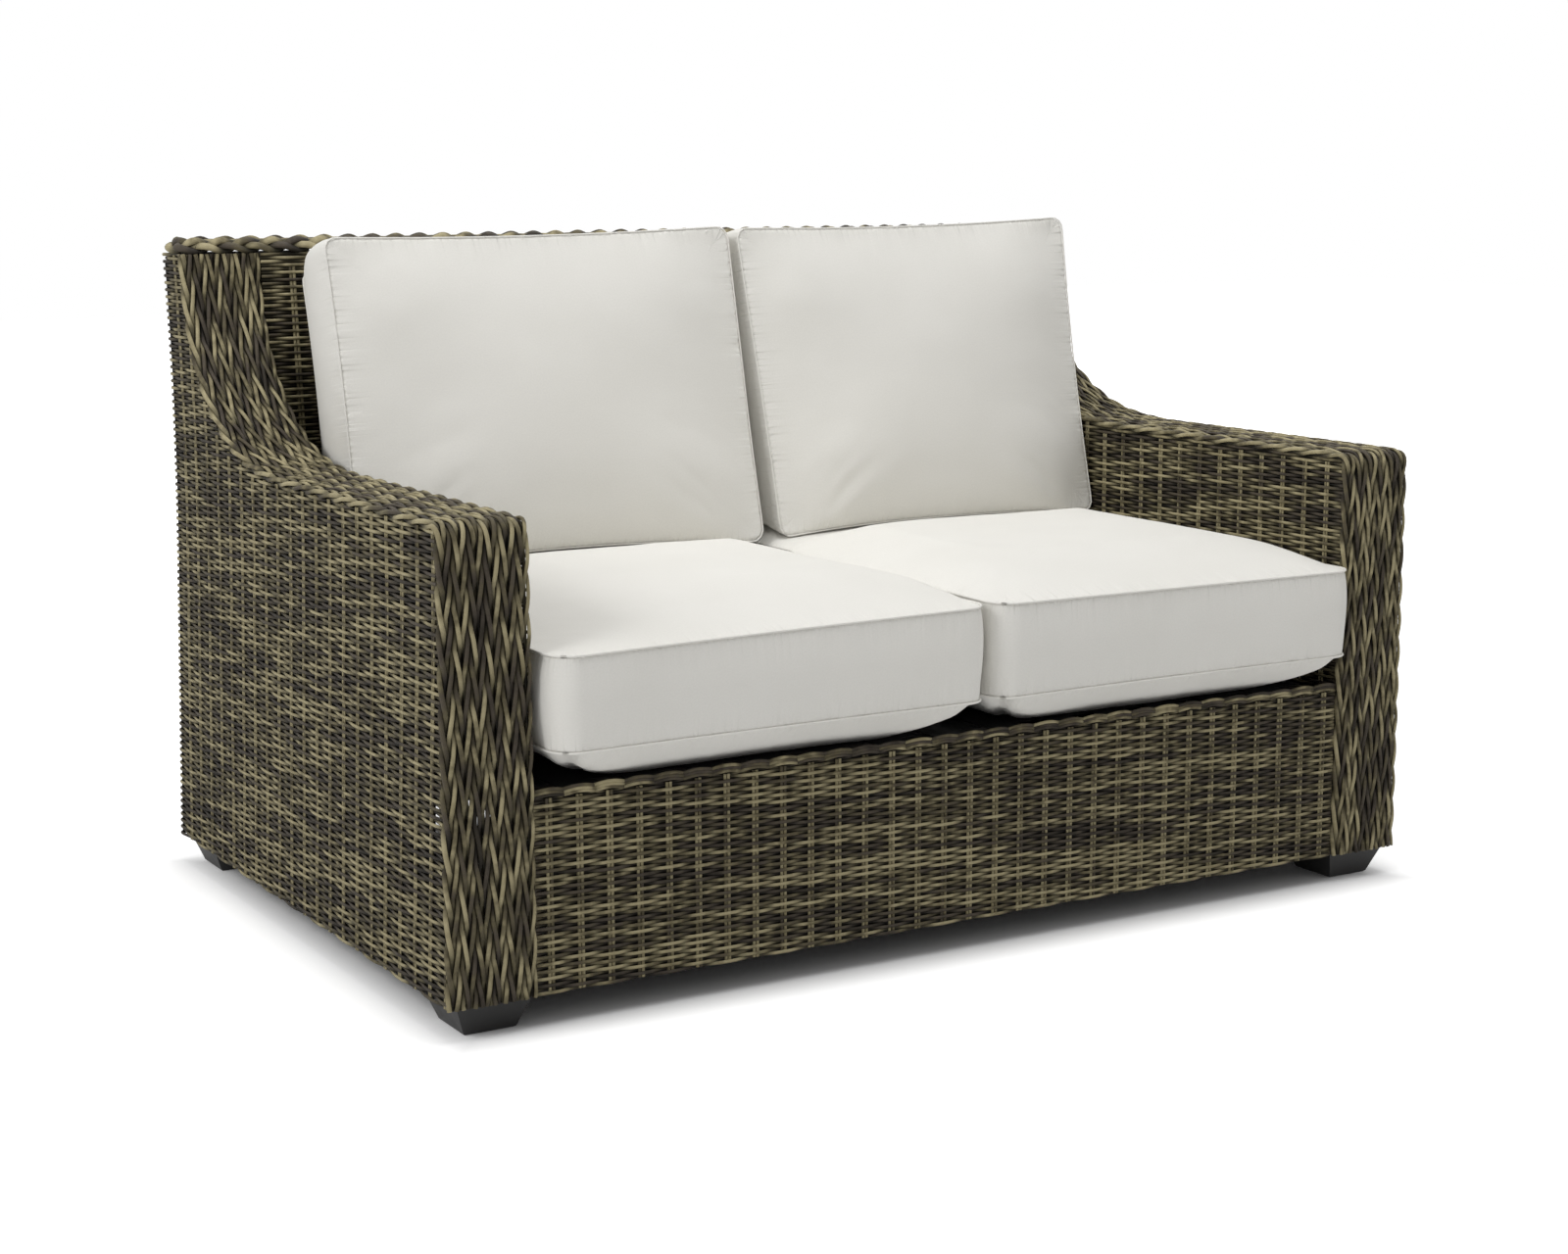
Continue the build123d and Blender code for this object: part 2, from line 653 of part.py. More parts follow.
# Boxed seat cushion with both crowns, moved in all round by an inset
def seat_form(inset):
    width = cushion_width - 2 * boxing_bulge - 2 * inset
    depth = seat_depth - 2 * boxing_bulge - 2 * inset
    crown(seat_plane, seat_seam_high, seat_crown_height - inset, width, depth, seat_top_shares)
    crown(seat_plane, seat_seam_low, seat_base + inset - seat_seam_low, width, depth, seat_base_shares)
    sections = []
    for share, bulge in seat_boxing_shares:
        grow = 2 * boxing_bulge * bulge
        height = seat_seam_low + share * (seat_seam_high - seat_seam_low)
        with BuildSketch(seat_plane.offset(height)) as section:
            RectangleRounded(width + grow, depth + grow, cushion_corner)
        sections.append(section.sketch)
    loft(sections)
    # The back cushion presses the rear of the top flat
    lead = back_seam - dent_lead
    with BuildSketch(Plane.YZ.offset(cushion_x - cushion_width)) as dent:
        with BuildLine():
            low = back_rest_height - core_gap - inset
            high = seat_top + overrun
            Polyline(
                (lead - inset, low),
                (rear, low),
                (rear, high),
                (lead - inset + (high - low) * tan(lean), high),
                close=True,
            )
        make_face()
    extrude(dent.sketch, amount=2 * cushion_width, mode=Mode.SUBTRACT)


# Boxed back cushion, leaning, with a flat where it stands on the seat cushion
def back_form(inset):
    width = cushion_width - 2 * inset
    length = back_cushion_length - 2 * inset
    drop = back_rear_draw
    centre = back_plane.from_local_coords((0, back_cushion_length / 2, 0))
    middle = Plane(centre, x_dir=(1, 0, 0), z_dir=back_plane.z_dir)
    crown(middle, -inset, back_front_crown, width, length, back_front_shares)
    rear_start = -back_boxing + inset
    crown(middle, rear_start, -back_rear_crown, width - 2 * drop, length - 2 * drop, back_rear_shares)
    sections = []
    for share, draw in back_boxing_shares:
        with BuildSketch(middle.offset(-inset + share * (rear_start + inset))) as section:
            RectangleRounded(width - 2 * drop * draw, length - 2 * drop * draw, cushion_corner)
        sections.append(section.sketch)
    loft(sections)


# Room for a zip in the seat cushion's rear boxing, or under the back cushion, grown by an inset
zip_z = (seat_seam_low + seat_seam_high) / 2
zip_y = back_seam + back_boxing / 2
slot_length = zip_length + 2 * zip_slot_margin
slot_width = zip_width + 2 * zip_slot_margin
seat_slot_floor = seat_rear - boxing_bulge - zip_slot_depth
back_floor = back_rest_height + core_gap
back_slot_roof = back_floor + zip_slot_depth


def cut_seat_slot(inset):
    with BuildSketch(Plane.XZ.offset(inset - seat_slot_floor)) as slot:
        with Locations((cushion_x, zip_z)):
            Rectangle(slot_length + 2 * inset, slot_width + 2 * inset)
    extrude(slot.sketch, amount=-overrun, mode=Mode.SUBTRACT)


def cut_back_floor_and_slot(inset):
    with BuildSketch(Plane.XY.offset(back_floor + inset)) as below:
        with Locations((cushion_x, zip_y)):
            Rectangle(2 * cushion_width, 2 * frame_depth)
    extrude(below.sketch, amount=-frame_depth, mode=Mode.SUBTRACT)
    with BuildSketch(Plane.XY.offset(back_slot_roof + inset)) as slot:
        with Locations((cushion_x, zip_y)):
            Rectangle(slot_length + 2 * inset, slot_width + 2 * inset)
    extrude(slot.sketch, amount=-overrun, mode=Mode.SUBTRACT)


for name, form, cut in (
    ("seat", seat_form, cut_seat_slot),
    ("back", back_form, cut_back_floor_and_slot),
):
    with BuildPart() as cavity:
        form(cover_thickness)
        cut(cover_thickness)
    with BuildPart() as cover:
        form(0)
        cut(0)
        add(cavity.part, mode=Mode.SUBTRACT)
    save(cover.part, f"{name}_cover_left", f"{name}_cover_right")
    with BuildPart() as core:
        form(cover_thickness + core_gap)
        cut(cover_thickness + core_gap)
    save(core.part, f"{name}_core_left", f"{name}_core_right")

# Zip tapes lie on the floor of each slot and the sliders run on them
slider_start = cushion_x - zip_length / 2 + slider_end_margin + slider_length / 2
zip_places = (
    ("seat", Plane.XZ.offset(-seat_slot_floor), zip_z, -1),
    ("back", Plane.XY.offset(back_slot_roof), zip_y, -1),
)
for name, plane, across, way in zip_places:
    with BuildPart() as tape:
        with BuildSketch(plane):
            with Locations((cushion_x, across)):
                Rectangle(zip_length, zip_width)
        extrude(amount=way * zip_thickness)
    save(tape.part, f"{name}_zip_tape_left", f"{name}_zip_tape_right")
    with BuildPart() as slider:
        with BuildSketch(plane.offset(way * (zip_thickness + slider_gap))):
            with Locations((slider_start, across)):
                Rectangle(slider_length, slider_length)
        extrude(amount=way * slider_height)
        chamfer(slider.edges().filter_by(Axis((0, 0, 0), plane.z_dir)), length=slider_corner)
    save(slider.part, f"{name}_zip_slider_left", f"{name}_zip_slider_right")
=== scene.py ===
import math

import bpy
import numpy as np
from mathutils import Matrix, Vector, noise
from mathutils.kdtree import KDTree


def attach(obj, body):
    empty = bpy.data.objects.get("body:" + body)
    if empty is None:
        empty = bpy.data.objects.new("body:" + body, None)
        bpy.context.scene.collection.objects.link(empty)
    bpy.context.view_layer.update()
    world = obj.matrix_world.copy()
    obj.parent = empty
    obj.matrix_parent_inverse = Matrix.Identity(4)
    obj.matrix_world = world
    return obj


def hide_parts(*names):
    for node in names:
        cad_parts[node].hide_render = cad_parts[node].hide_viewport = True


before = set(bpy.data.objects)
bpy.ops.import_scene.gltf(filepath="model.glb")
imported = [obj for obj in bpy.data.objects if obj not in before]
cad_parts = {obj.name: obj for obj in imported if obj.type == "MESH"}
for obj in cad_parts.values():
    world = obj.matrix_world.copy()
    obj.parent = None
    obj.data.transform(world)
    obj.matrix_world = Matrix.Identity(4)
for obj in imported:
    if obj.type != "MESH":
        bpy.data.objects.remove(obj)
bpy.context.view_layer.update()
scene = bpy.context.scene
print("frame loaded:", len(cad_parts), "nodes")

# the woven frame's outline in metres, as it is built
loveseat = {
    "side": 0.7225, "armInner": 0.607, "front": -0.466, "rear": 0.504,
    "footTop": 0.0385, "deck": 0.272, "armTop": 0.603, "borderLow": 0.870,
    "cornerRadius": 0.022, "swoopEnd": 0.386, "swoop": ((0.801, 8), (0.33108, 27), (0.2403, 47)),
    "kneeHeight": 0.460, "kneeInset": 0.037, "curlRadius": 1.9, "backLean": 0.052, "apronRecess": 0.006,
    "outlineSteps": 900,
}


# place and heading at a distance along a straight run or an arc of the side view
def alongLeg(leg, run):
    length, turn, (y, z), heading = leg
    if not turn:
        return y + run * math.cos(heading), z + run * math.sin(heading), heading
    radius = length / turn
    angle = heading + run / radius
    y, z = y - radius * math.sin(heading), z + radius * math.cos(heading)
    return y + radius * np.sin(angle), z - radius * np.cos(angle), angle


# legs one after the other: each move is a length and a turn
def walkMoves(start, heading, moves):
    at, legs = start, []
    for length, turn in moves:
        legs.append((length, turn, at, heading))
        *at, heading = alongLeg(legs[-1], length)
    return legs, at, heading


# the arm's outline moved in: up its front, over the top and up the swoop to the border
def armLegs(inset, low):
    bend = loveseat["cornerRadius"] - inset
    swoop = [(radius, math.radians(turn)) for radius, turn in loveseat["swoop"]]
    _, (run, rise), heading = walkMoves((0.0, 0.0), 0.0, [(radius * turn, turn) for radius, turn in swoop])
    run += (loveseat["borderLow"] - loveseat["armTop"] - rise) / math.tan(heading)
    moves = [
        (loveseat["armTop"] - loveseat["cornerRadius"] - low, 0.0),
        (bend * math.pi / 2, -math.pi / 2),
        (loveseat["swoopEnd"] - run - loveseat["front"] - loveseat["cornerRadius"], 0.0),
    ] + [((radius + inset) * turn, turn) for radius, turn in swoop]
    legs, at, heading = walkMoves((loveseat["front"] + inset, low), math.pi / 2, moves)
    return legs + [((loveseat["borderLow"] - at[1]) / math.sin(heading), 0.0, at, heading)]


# points and headings at distances along the legs
def alongLegs(legs, places):
    points, headings = np.zeros((len(places), 2)), np.zeros(len(places))
    begin = 0.0
    for leg in legs:
        inside = (places >= begin - 1e-9) & ((places < begin + leg[0]) | (leg is legs[-1]))
        points[inside, 0], points[inside, 1], headings[inside] = alongLeg(leg, places[inside] - begin)
        begin += leg[0]
    return points, headings


def totalLength(legs):
    return sum(leg[0] for leg in legs)


# where a row at a height meets the arm's outline moved in
def frontAt(inset):
    legs = armLegs(inset, loveseat["footTop"])
    points, _ = alongLegs(legs, np.linspace(0, totalLength(legs), loveseat["outlineSteps"]))
    return lambda height: float(np.interp(height, points[:, 1], points[:, 0]))


# the rear outline: straight up to the knee, then curling back
def rearAt(height):
    lean = math.atan2(loveseat["kneeInset"], loveseat["kneeHeight"] - loveseat["footTop"])
    knee = loveseat["rear"] - loveseat["kneeInset"]
    if height < loveseat["kneeHeight"]:
        return knee + (loveseat["kneeHeight"] - height) * math.tan(lean)
    centreY = knee + math.cos(lean) * loveseat["curlRadius"]
    centreZ = loveseat["kneeHeight"] + math.sin(lean) * loveseat["curlRadius"]
    return centreY - math.sqrt(loveseat["curlRadius"] ** 2 - (height - centreZ) ** 2)


def backFace(height):
    slope = loveseat["backLean"] / (loveseat["borderLow"] - loveseat["deck"])
    return loveseat["swoopEnd"] - (loveseat["borderLow"] - height) * slope


def newObject(name, data):
    made = bpy.data.objects.new(name, data)
    scene.collection.objects.link(made)
    return made


# camera at the photograph's viewing angle
lens = {"place": (-1.8637, -3.1385, 0.9906), "yaw": 30.672, "pitch": 9.965, "roll": -0.1715, "focal": 60.795,
        "sensor": 36.0, "far": 50.0}


def addCamera():
    yaw, pitch, roll = (math.radians(lens[k]) for k in ("yaw", "pitch", "roll"))
    ahead = Vector((math.sin(yaw) * math.cos(pitch), math.cos(yaw) * math.cos(pitch), -math.sin(pitch)))
    right = Vector((math.cos(yaw), -math.sin(yaw), 0))
    up = right.cross(ahead)
    x = right * math.cos(roll) + up * math.sin(roll)
    y = up * math.cos(roll) - right * math.sin(roll)
    data = bpy.data.cameras.new("camera")
    data.lens, data.sensor_width, data.clip_end = lens["focal"], lens["sensor"], lens["far"]
    scene.camera = newObject("camera", data)
    turn = Matrix((x, y, -ahead)).transposed().to_4x4()
    scene.camera.matrix_world = Matrix.Translation(lens["place"]) @ turn


# the socket in use of that name, or the first one in use
def inUse(sockets, name=None):
    return next(s for s in sockets if s.enabled and name in (None, s.name))


# adds nodes to a tree, shader nodes by their short names:
# an input takes a plain value, a socket, or a node for its first output in use
def nodeAdder(tree):
    def add(kind, inputs=None, **settings):
        node = tree.nodes.new(kind if "Node" in kind else "ShaderNode" + kind)
        for name, value in settings.items():
            setattr(node, name, value)
        for key, value in (inputs or {}).items():
            socket = node.inputs[key] if isinstance(key, int) else inUse(node.inputs, key)
            if isinstance(value, bpy.types.Node):
                value = inUse(value.outputs)
            if isinstance(value, bpy.types.NodeSocket):
                tree.links.new(value, socket)
            else:
                socket.default_value = value
        return node

    def maths(operation, *terms):
        return add("Math", dict(enumerate(terms)), operation=operation)
    return add, maths


def spreadTo(add, value, ends):
    return add("MapRange", {"Value": value, "To Min": ends[0], "To Max": ends[1]})


def newMaterial(name):
    material = bpy.data.materials.new(name)
    material.use_nodes = True
    material.node_tree.nodes.clear()
    return (material, *nodeAdder(material.node_tree))


def addShader(add, inputs):
    add("OutputMaterial", {"Surface": add("BsdfPrincipled", inputs)})


studio = {
    "world": 0.40, "white": (1, 1, 1, 1), "aim": (0, 0, 0.4),
    "lamps": {  # place, size and power
        "keyLight": ((-3.8, -0.7, 2.6), 2.2, 60.0),
        "topLight": ((0.3, -0.35, 3.6), 3.0, 59.0),
        "fillLight": ((2.6, -3.2, 2.2), 2.5, 4.0),
    },
    "floorHalf": 14.0, "floorColours": ((0.90, 0.90, 0.90, 1), (0.95, 0.95, 0.95, 1)),
    "footprint": (0.74, 0.51),
    "glows": (((-0.08, 0.03), 0.55), ((0.5, 3.0), 0.60)),  # distances from the footprint, and glow past them
}


# plain soft light, and white behind the object for the camera and for reflections
def addStudio():
    world = bpy.data.worlds.new("studio")
    scene.world = world
    world.use_nodes = True
    world.node_tree.nodes.clear()
    add, maths = nodeAdder(world.node_tree)
    path = add("LightPath").outputs
    seen = maths("MAXIMUM", path["Is Camera Ray"], path["Is Glossy Ray"])
    seen = maths("MAXIMUM", seen, path["Is Transmission Ray"])
    soft = add("Background", {"Color": studio["white"], "Strength": studio["world"]})
    white = add("Background", {"Color": studio["white"]})
    add("OutputWorld", {"Surface": add("MixShader", {0: seen, 1: soft, 2: white})})
    for name, (place, size, power) in studio["lamps"].items():
        data = bpy.data.lights.new(name, "AREA")
        data.shape, data.size, data.energy = "DISK", size, power
        lamp = newObject(name, data)
        lamp.location = place
        lamp.rotation_euler = (Vector(studio["aim"]) - Vector(place)).to_track_quat("-Z", "Y").to_euler()


def addFloor():
    data = bpy.data.meshes.new("floor")
    half = studio["floorHalf"]
    corners = [(-half, -half, 0), (half, -half, 0), (half, half, 0), (-half, half, 0)]
    data.from_pydata(corners, [], [(0, 1, 2, 3)])
    floor = newObject("floor", data)
    material, add, maths = newMaterial("floorPale")
    mottle = add("TexNoise", {"Scale": 1.5})
    first, second = studio["floorColours"]
    colour = add("Mix", {"Factor": mottle, "A": first, "B": second}, data_type="RGBA")
    # for the camera the floor turns white a little way out from under the object
    place = add("SeparateXYZ", {0: add("TexCoord").outputs["Object"]}).outputs
    gaps = [maths("SUBTRACT", maths("ABSOLUTE", place[i]), size) for i, size in enumerate(studio["footprint"])]
    gap = maths("MAXIMUM", *gaps)
    glows = [
        add("MapRange", {"Value": gap, "From Min": begin, "From Max": end, "To Max": glow},
            interpolation_type="SMOOTHSTEP")
        for (begin, end), glow in studio["glows"]
    ]
    glow = maths("MULTIPLY", maths("ADD", *glows), add("LightPath").outputs["Is Camera Ray"])
    addShader(add, {"Base Color": colour, "Roughness": 0.9, "Specular IOR Level": 0.0,
                    "Emission Color": studio["white"], "Emission Strength": glow})
    data.materials.append(material)


addCamera()
addStudio()
addFloor()
print("camera, lights and floor set")


# sockets of a node group, each with its value, or its kind where it has none
def groupSockets(tree, direction, sockets):
    kinds = {float: "Float", int: "Int", tuple: "Vector"}
    for name, value in sockets.items():
        kind = value if isinstance(value, str) else kinds[type(value)]
        socket = tree.interface.new_socket(name=name, in_out=direction, socket_type="NodeSocket" + kind)
        if kind != value:
            socket.default_value = value


strandFinish = {
    # depth and shadeFrom set the painted shade of hidden turns: how dark it gets, and from how far back it
    # starts
    "depth": 0.90, "streakScale": 900.0, "bump": 0.25, "bumpDistance": 0.0006, "gloss": 0.15,
    "patchScale": 55.0, "patchShare": 0.30, "toneSpan": (0.42, 0.88), "shadeFrom": 0.18,
    "grain": (0.78, 1.22), "roughness": (0.42, 0.68),
    "tones": (
        (0.08, (0.029, 0.024, 0.017)), (0.26, (0.084, 0.069, 0.054)), (0.42, (0.080, 0.068, 0.040)),
        (0.56, (0.185, 0.158, 0.090)), (0.72, (0.450, 0.395, 0.240)), (0.90, (0.270, 0.232, 0.134)),
    ),
}


# the strand's colours along its length, with painted shade that darkens its hidden turns
def strandColourGroup():
    tree = bpy.data.node_groups.new("strandColour", "ShaderNodeTree")
    groupSockets(tree, "INPUT", {"Tone": 0.5, "Recess": 0.0, "Depth": 0.7, "Streak Scale": 900.0})
    groupSockets(tree, "OUTPUT", {"Colour": "Color", "Roughness": "Float", "Height": "Float"})
    add, maths = nodeAdder(tree)
    given = add("NodeGroupInput").outputs
    place = add("TexCoord").outputs["Object"]
    streak = add("TexNoise", {"Vector": place, "Scale": given["Streak Scale"], "Detail": 3.0})
    patch = add("TexNoise", {"Vector": place, "Scale": strandFinish["patchScale"], "Detail": 2.0})
    tone = maths("MULTIPLY_ADD", patch, strandFinish["patchShare"], given["Tone"])
    low, high = strandFinish["toneSpan"]
    tone = add("MapRange", {"Value": tone, "From Min": low, "From Max": high}, clamp=False)
    ramp = add("ValToRGB", {"Fac": tone})
    ramp.color_ramp.interpolation = "B_SPLINE"
    elements = ramp.color_ramp.elements
    while len(elements) < len(strandFinish["tones"]):
        elements.new(0.5)
    for element, (position, colour) in zip(elements, strandFinish["tones"]):
        element.position, element.color = position, (*colour, 1)
    # painted shade: the further back the strand turns, the darker its colour
    shade = add("MapRange", {
        "Value": given["Recess"], "From Min": strandFinish["shadeFrom"],
        "To Min": 1.0, "To Max": maths("SUBTRACT", 1.0, given["Depth"]),
    })
    level = maths("MULTIPLY", shade, spreadTo(add, streak, strandFinish["grain"]))
    colour = add("VectorMath", {0: ramp, "Scale": level}, operation="SCALE")
    rough = spreadTo(add, streak, strandFinish["roughness"])
    add("NodeGroupOutput", {"Colour": colour, "Roughness": rough, "Height": streak})
    return tree


def strandMaterial(name):
    material, add, _ = newMaterial(name)
    tone, recess = (add("Attribute", attribute_name=n).outputs["Fac"] for n in ("tone", "recess"))
    group = add("Group", {
        "Tone": tone, "Recess": recess,
        "Depth": strandFinish["depth"], "Streak Scale": strandFinish["streakScale"],
    }, node_tree=strandColourGroup()).outputs
    bump = add("Bump", {
        "Height": group["Height"], "Strength": strandFinish["bump"], "Distance": strandFinish["bumpDistance"],
    })
    addShader(add, {"Base Color": group["Colour"], "Roughness": group["Roughness"], "Normal": bump,
                    "Specular IOR Level": strandFinish["gloss"]})
    return material


resin = strandMaterial("resinStrand")


# where the noise is read: from strand to strand, for the tone, and its scale and shift each way
strandNoise = {"strandShift": (3.71, 1.93), "toneShift": (0, 0, 17.0),
               "outward": (45.0, (5.3, 0, 0)), "across": (38.0, (0, 9.1, 0))}


# the weaving rule: each guide line becomes one strand that waves in and out along its turns
def strandTree():
    tree = bpy.data.node_groups.new("strandWeave", "GeometryNodeTree")
    groupSockets(tree, "INPUT", {
        "Geometry": "Geometry", "Strand Width": 0.0046, "Strand Thickness": 0.0034, "Wave Depth": 0.0,
        "Sway": 0.0, "Lift": 0.0, "Flatness": 0.0, "Hidden Swell": 0.0, "Sides": 5, "Jitter": 0.0008,
        "Tone Spread": (14.0, 14.0, 14.0), "Tone Step": 1.0, "Tone Lift": 0.0, "Seed": 1.0,
        "Material": "Material",
    })
    groupSockets(tree, "OUTPUT", {"Geometry": "Geometry"})
    add, maths = nodeAdder(tree)
    given = add("NodeGroupInput").outputs

    def attribute(name, kind="FLOAT"):
        return add("GeometryNodeInputNamedAttribute", {"Name": name}, data_type=kind)

    def scaled(vector, amount):
        return add("VectorMath", {0: vector, "Scale": amount}, operation="SCALE")

    def joined(first, second):
        return add("VectorMath", {0: first, 1: second}, operation="ADD")

    turn, strand = attribute("turn"), attribute("strand")
    outward, across = attribute("out", "FLOAT_VECTOR"), attribute("across", "FLOAT_VECTOR")
    angle = maths("MULTIPLY", turn, math.pi)
    plainWave = maths("COSINE", angle)
    bend = maths("SUBTRACT", plainWave, maths("POWER", plainWave, 3.0))
    wave = maths("MULTIPLY_ADD", bend, maths("MULTIPLY", given["Flatness"], 0.5), plainWave)
    slant = maths("ARCSINE", maths("MULTIPLY", maths("SINE", angle), 0.9995))
    slant = maths("MULTIPLY", slant, 2 / math.pi)
    depth = maths("MULTIPLY", wave, given["Wave Depth"])
    sideways = maths("ADD", maths("MULTIPLY", slant, given["Sway"]), maths("MULTIPLY", wave, given["Lift"]))

    # noise whose place is the point's own, shifted for each strand
    place = add("GeometryNodeInputPosition")
    first, second = (maths("MULTIPLY", strand, amount) for amount in strandNoise["strandShift"])
    shift = add("CombineXYZ", {0: first, 1: second, 2: given["Seed"]})

    def wander(scale, extra):
        moved = joined(joined(scaled(place, scale), shift), extra)
        rough = add("TexNoise", {"Vector": moved, "Scale": 1.0, "Detail": 1.0})
        return maths("MULTIPLY", maths("SUBTRACT", rough, 0.5), given["Jitter"])

    outOffset = scaled(outward, maths("ADD", depth, wander(*strandNoise["outward"])))
    offset = joined(outOffset, scaled(across, maths("ADD", sideways, wander(*strandNoise["across"]))))
    spread = add("VectorMath", {0: place, 1: given["Tone Spread"]}, operation="MULTIPLY")
    toneShift = joined(scaled(shift, given["Tone Step"]), strandNoise["toneShift"])
    tone = add("TexNoise", {"Vector": joined(spread, toneShift), "Scale": 1.0, "Detail": 2.0})
    # how far back the strand turns: it swells the strand and sets its painted shade
    recess = maths("MULTIPLY_ADD", wave, -0.5, 0.5)
    geometry = given["Geometry"]
    for name, value in (("tone", maths("ADD", tone, given["Tone Lift"])), ("recess", recess)):
        geometry = add("GeometryNodeStoreNamedAttribute", {"Geometry": geometry, "Name": name, "Value": value},
                       data_type="FLOAT", domain="POINT")
    moved = add("GeometryNodeSetPosition", {"Geometry": geometry, "Offset": offset})
    curve = add("GeometryNodeMeshToCurve", {"Mesh": moved})
    # where a strand runs behind the others it is fuller, which closes the weave
    swell = maths("MULTIPLY_ADD", attribute("recess"), given["Hidden Swell"], 1.0)
    curve = add("GeometryNodeSetCurveRadius", {"Curve": curve, "Radius": swell})
    curve = add("GeometryNodeSetCurveNormal", {"Curve": curve, "Normal": outward}, mode="FREE")
    circle = add("GeometryNodeCurvePrimitiveCircle", {"Radius": 0.5, "Resolution": given["Sides"]})
    size = add("CombineXYZ", {0: given["Strand Thickness"], 1: given["Strand Width"], 2: 1.0})
    profile = add("GeometryNodeTransform", {"Geometry": circle, "Scale": size})
    solid = add("GeometryNodeCurveToMesh", {"Curve": curve, "Profile Curve": profile, "Fill Caps": True})
    smooth = add("GeometryNodeSetShadeSmooth", {"Geometry": solid})
    real = add("GeometryNodeRealizeInstances", {"Geometry": smooth})
    finish = add("GeometryNodeSetMaterial", {"Geometry": real, "Material": given["Material"]})
    add("NodeGroupOutput", {0: finish})
    return tree


strandWeave = strandTree()


def pointLayer(mesh, label, values):
    kind, key = ("FLOAT", "value") if values.ndim == 1 else ("FLOAT_VECTOR", "vector")
    layer = mesh.attributes.new(label, kind, "POINT")
    layer.data.foreach_set(key, values.astype(np.float32).ravel())


def plainMesh(piece):
    graph = bpy.context.evaluated_depsgraph_get()
    return bpy.data.meshes.new_from_object(piece.evaluated_get(graph), depsgraph=graph)


# a strand is its points, its turns at them, and the directions outwards and across
def strandPiece(name, strands, sizes, replaced=(), body="frame", material=None):
    points, turns, outs, acrosses = (np.concatenate(parts) for parts in zip(*strands))
    lengths = [len(s[1]) for s in strands]
    starts = np.cumsum([0] + lengths)
    links = [np.stack((np.arange(a, b - 1), np.arange(a + 1, b)), 1) for a, b in zip(starts, starts[1:])]
    links = np.concatenate(links)
    guide = bpy.data.meshes.new(name + "Guide")
    guide.vertices.add(len(points))
    guide.vertices.foreach_set("co", points.astype(np.float32).ravel())
    guide.edges.add(len(links))
    guide.edges.foreach_set("vertices", links.astype(np.int32).ravel())
    numbers = np.repeat(np.arange(len(strands), dtype=float), lengths)
    layers = {"turn": turns, "strand": numbers, "out": outs, "across": acrosses}
    for label, values in layers.items():
        pointLayer(guide, label, values)
    holder = newObject(name + "Guide", guide)
    modifier = holder.modifiers.new("weave", "NODES")
    modifier.node_group = strandWeave
    values = dict(sizes, Material=material or resin)
    for item in strandWeave.interface.items_tree:
        if item.item_type == "SOCKET" and item.in_out == "INPUT" and item.name in values:
            modifier[item.identifier] = values[item.name]
    mesh = plainMesh(holder)
    mesh.name = name
    for label in layers:
        if label in mesh.attributes:
            mesh.attributes.remove(mesh.attributes[label])
    holder.modifiers.remove(modifier)
    bpy.data.objects.remove(holder)
    piece = newObject(name, mesh)
    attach(piece, body)
    if replaced:
        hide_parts(*replaced)
    print(name, len(strands), "strands,", sum(len(p.vertices) - 2 for p in mesh.polygons), "triangles")


# plain weave: rows that wave over and under pairs of upright stakes, and dark strips of painted shade behind,
# between the stakes, where the weave's gaps lie in shadow
# the stakes' turn only sets how much painted shade darkens them
weave = {
    "rowPitch": 0.0048, "innerBackPitch": 0.0050, "innerSideTop": 0.852, "shortestRow": 0.012, "rowLap": 0.008,
    "stakePitch": 0.045, "backPitches": 32, "innerBackPitches": 27, "stepsPerStake": 4,
    "stakeGap": 0.0024, "stakeTurn": 0.36, "shadeStripTurn": 1.0, "sideStep": 0.012, "backStep": 0.02,
    "sideStakes": {"outer": 22, "inner": 20}, "innerStakeTop": 0.86,
    "frontGaps": (0.002, 0.016), "rearLaps": (0.006, 0.03),  # of the stakes and of the painted-shade strips
    "planeInset": 0.005, "cornerInset": 0.011, "edgeInset": 0.010, "endGap": 0.001,
}
# a piece's sizes go into the weaving rule, which has its own for those left out
rowSizes = {"Strand Width": 0.0044, "Strand Thickness": 0.0032, "Wave Depth": 0.0018, "Flatness": 1.0,
            "Hidden Swell": 0.05, "Jitter": 0.0003, "Tone Spread": (7.0, 7.0, 26.0), "Tone Step": 0.11}
stakeSizes = {"Strand Width": 0.0044, "Strand Thickness": 0.0030, "Tone Spread": (12.0, 12.0, 12.0),
              "Tone Lift": 0.08}
# the strips behind are painted shade: their turn sets them back and darkens them fully, and their tone is
# lowered
shadeStripSizes = {"Strand Width": 0.0475, "Strand Thickness": 0.0012, "Wave Depth": 0.0043, "Sides": 8,
              "Jitter": 0.0, "Tone Lift": -0.5}
cornerRadius = weave["cornerInset"] - weave["planeInset"]
cornerHalf = cornerRadius * math.pi / 4
backReach = loveseat["side"] - weave["cornerInset"]
backPitch = 2 * (backReach + cornerHalf) / weave["backPitches"]


def strandOf(points, turns, outs, across=(0, 0, 1)):
    points, turns, outs, across = (np.array(values, float) for values in (points, turns, outs, across))
    return points, turns, outs, np.tile(across, (len(points), 1))


def mirrored(strands):
    flip = np.array((-1.0, 1.0, 1.0))
    return [(p * flip, t, o * flip, a * flip) for p, t, o, a in strands]


# distances along a row of that many pitches, at its steps
def stepsAlong(pitch, pitches, first=0):
    return [pitch * k / weave["stepsPerStake"] for k in range(first, pitches * weave["stepsPerStake"] + 1)]


def between(count):
    return [k + 0.5 for k in range(count)]


def upward(low, high, step):
    return np.arange(low + weave["endGap"], high, step)
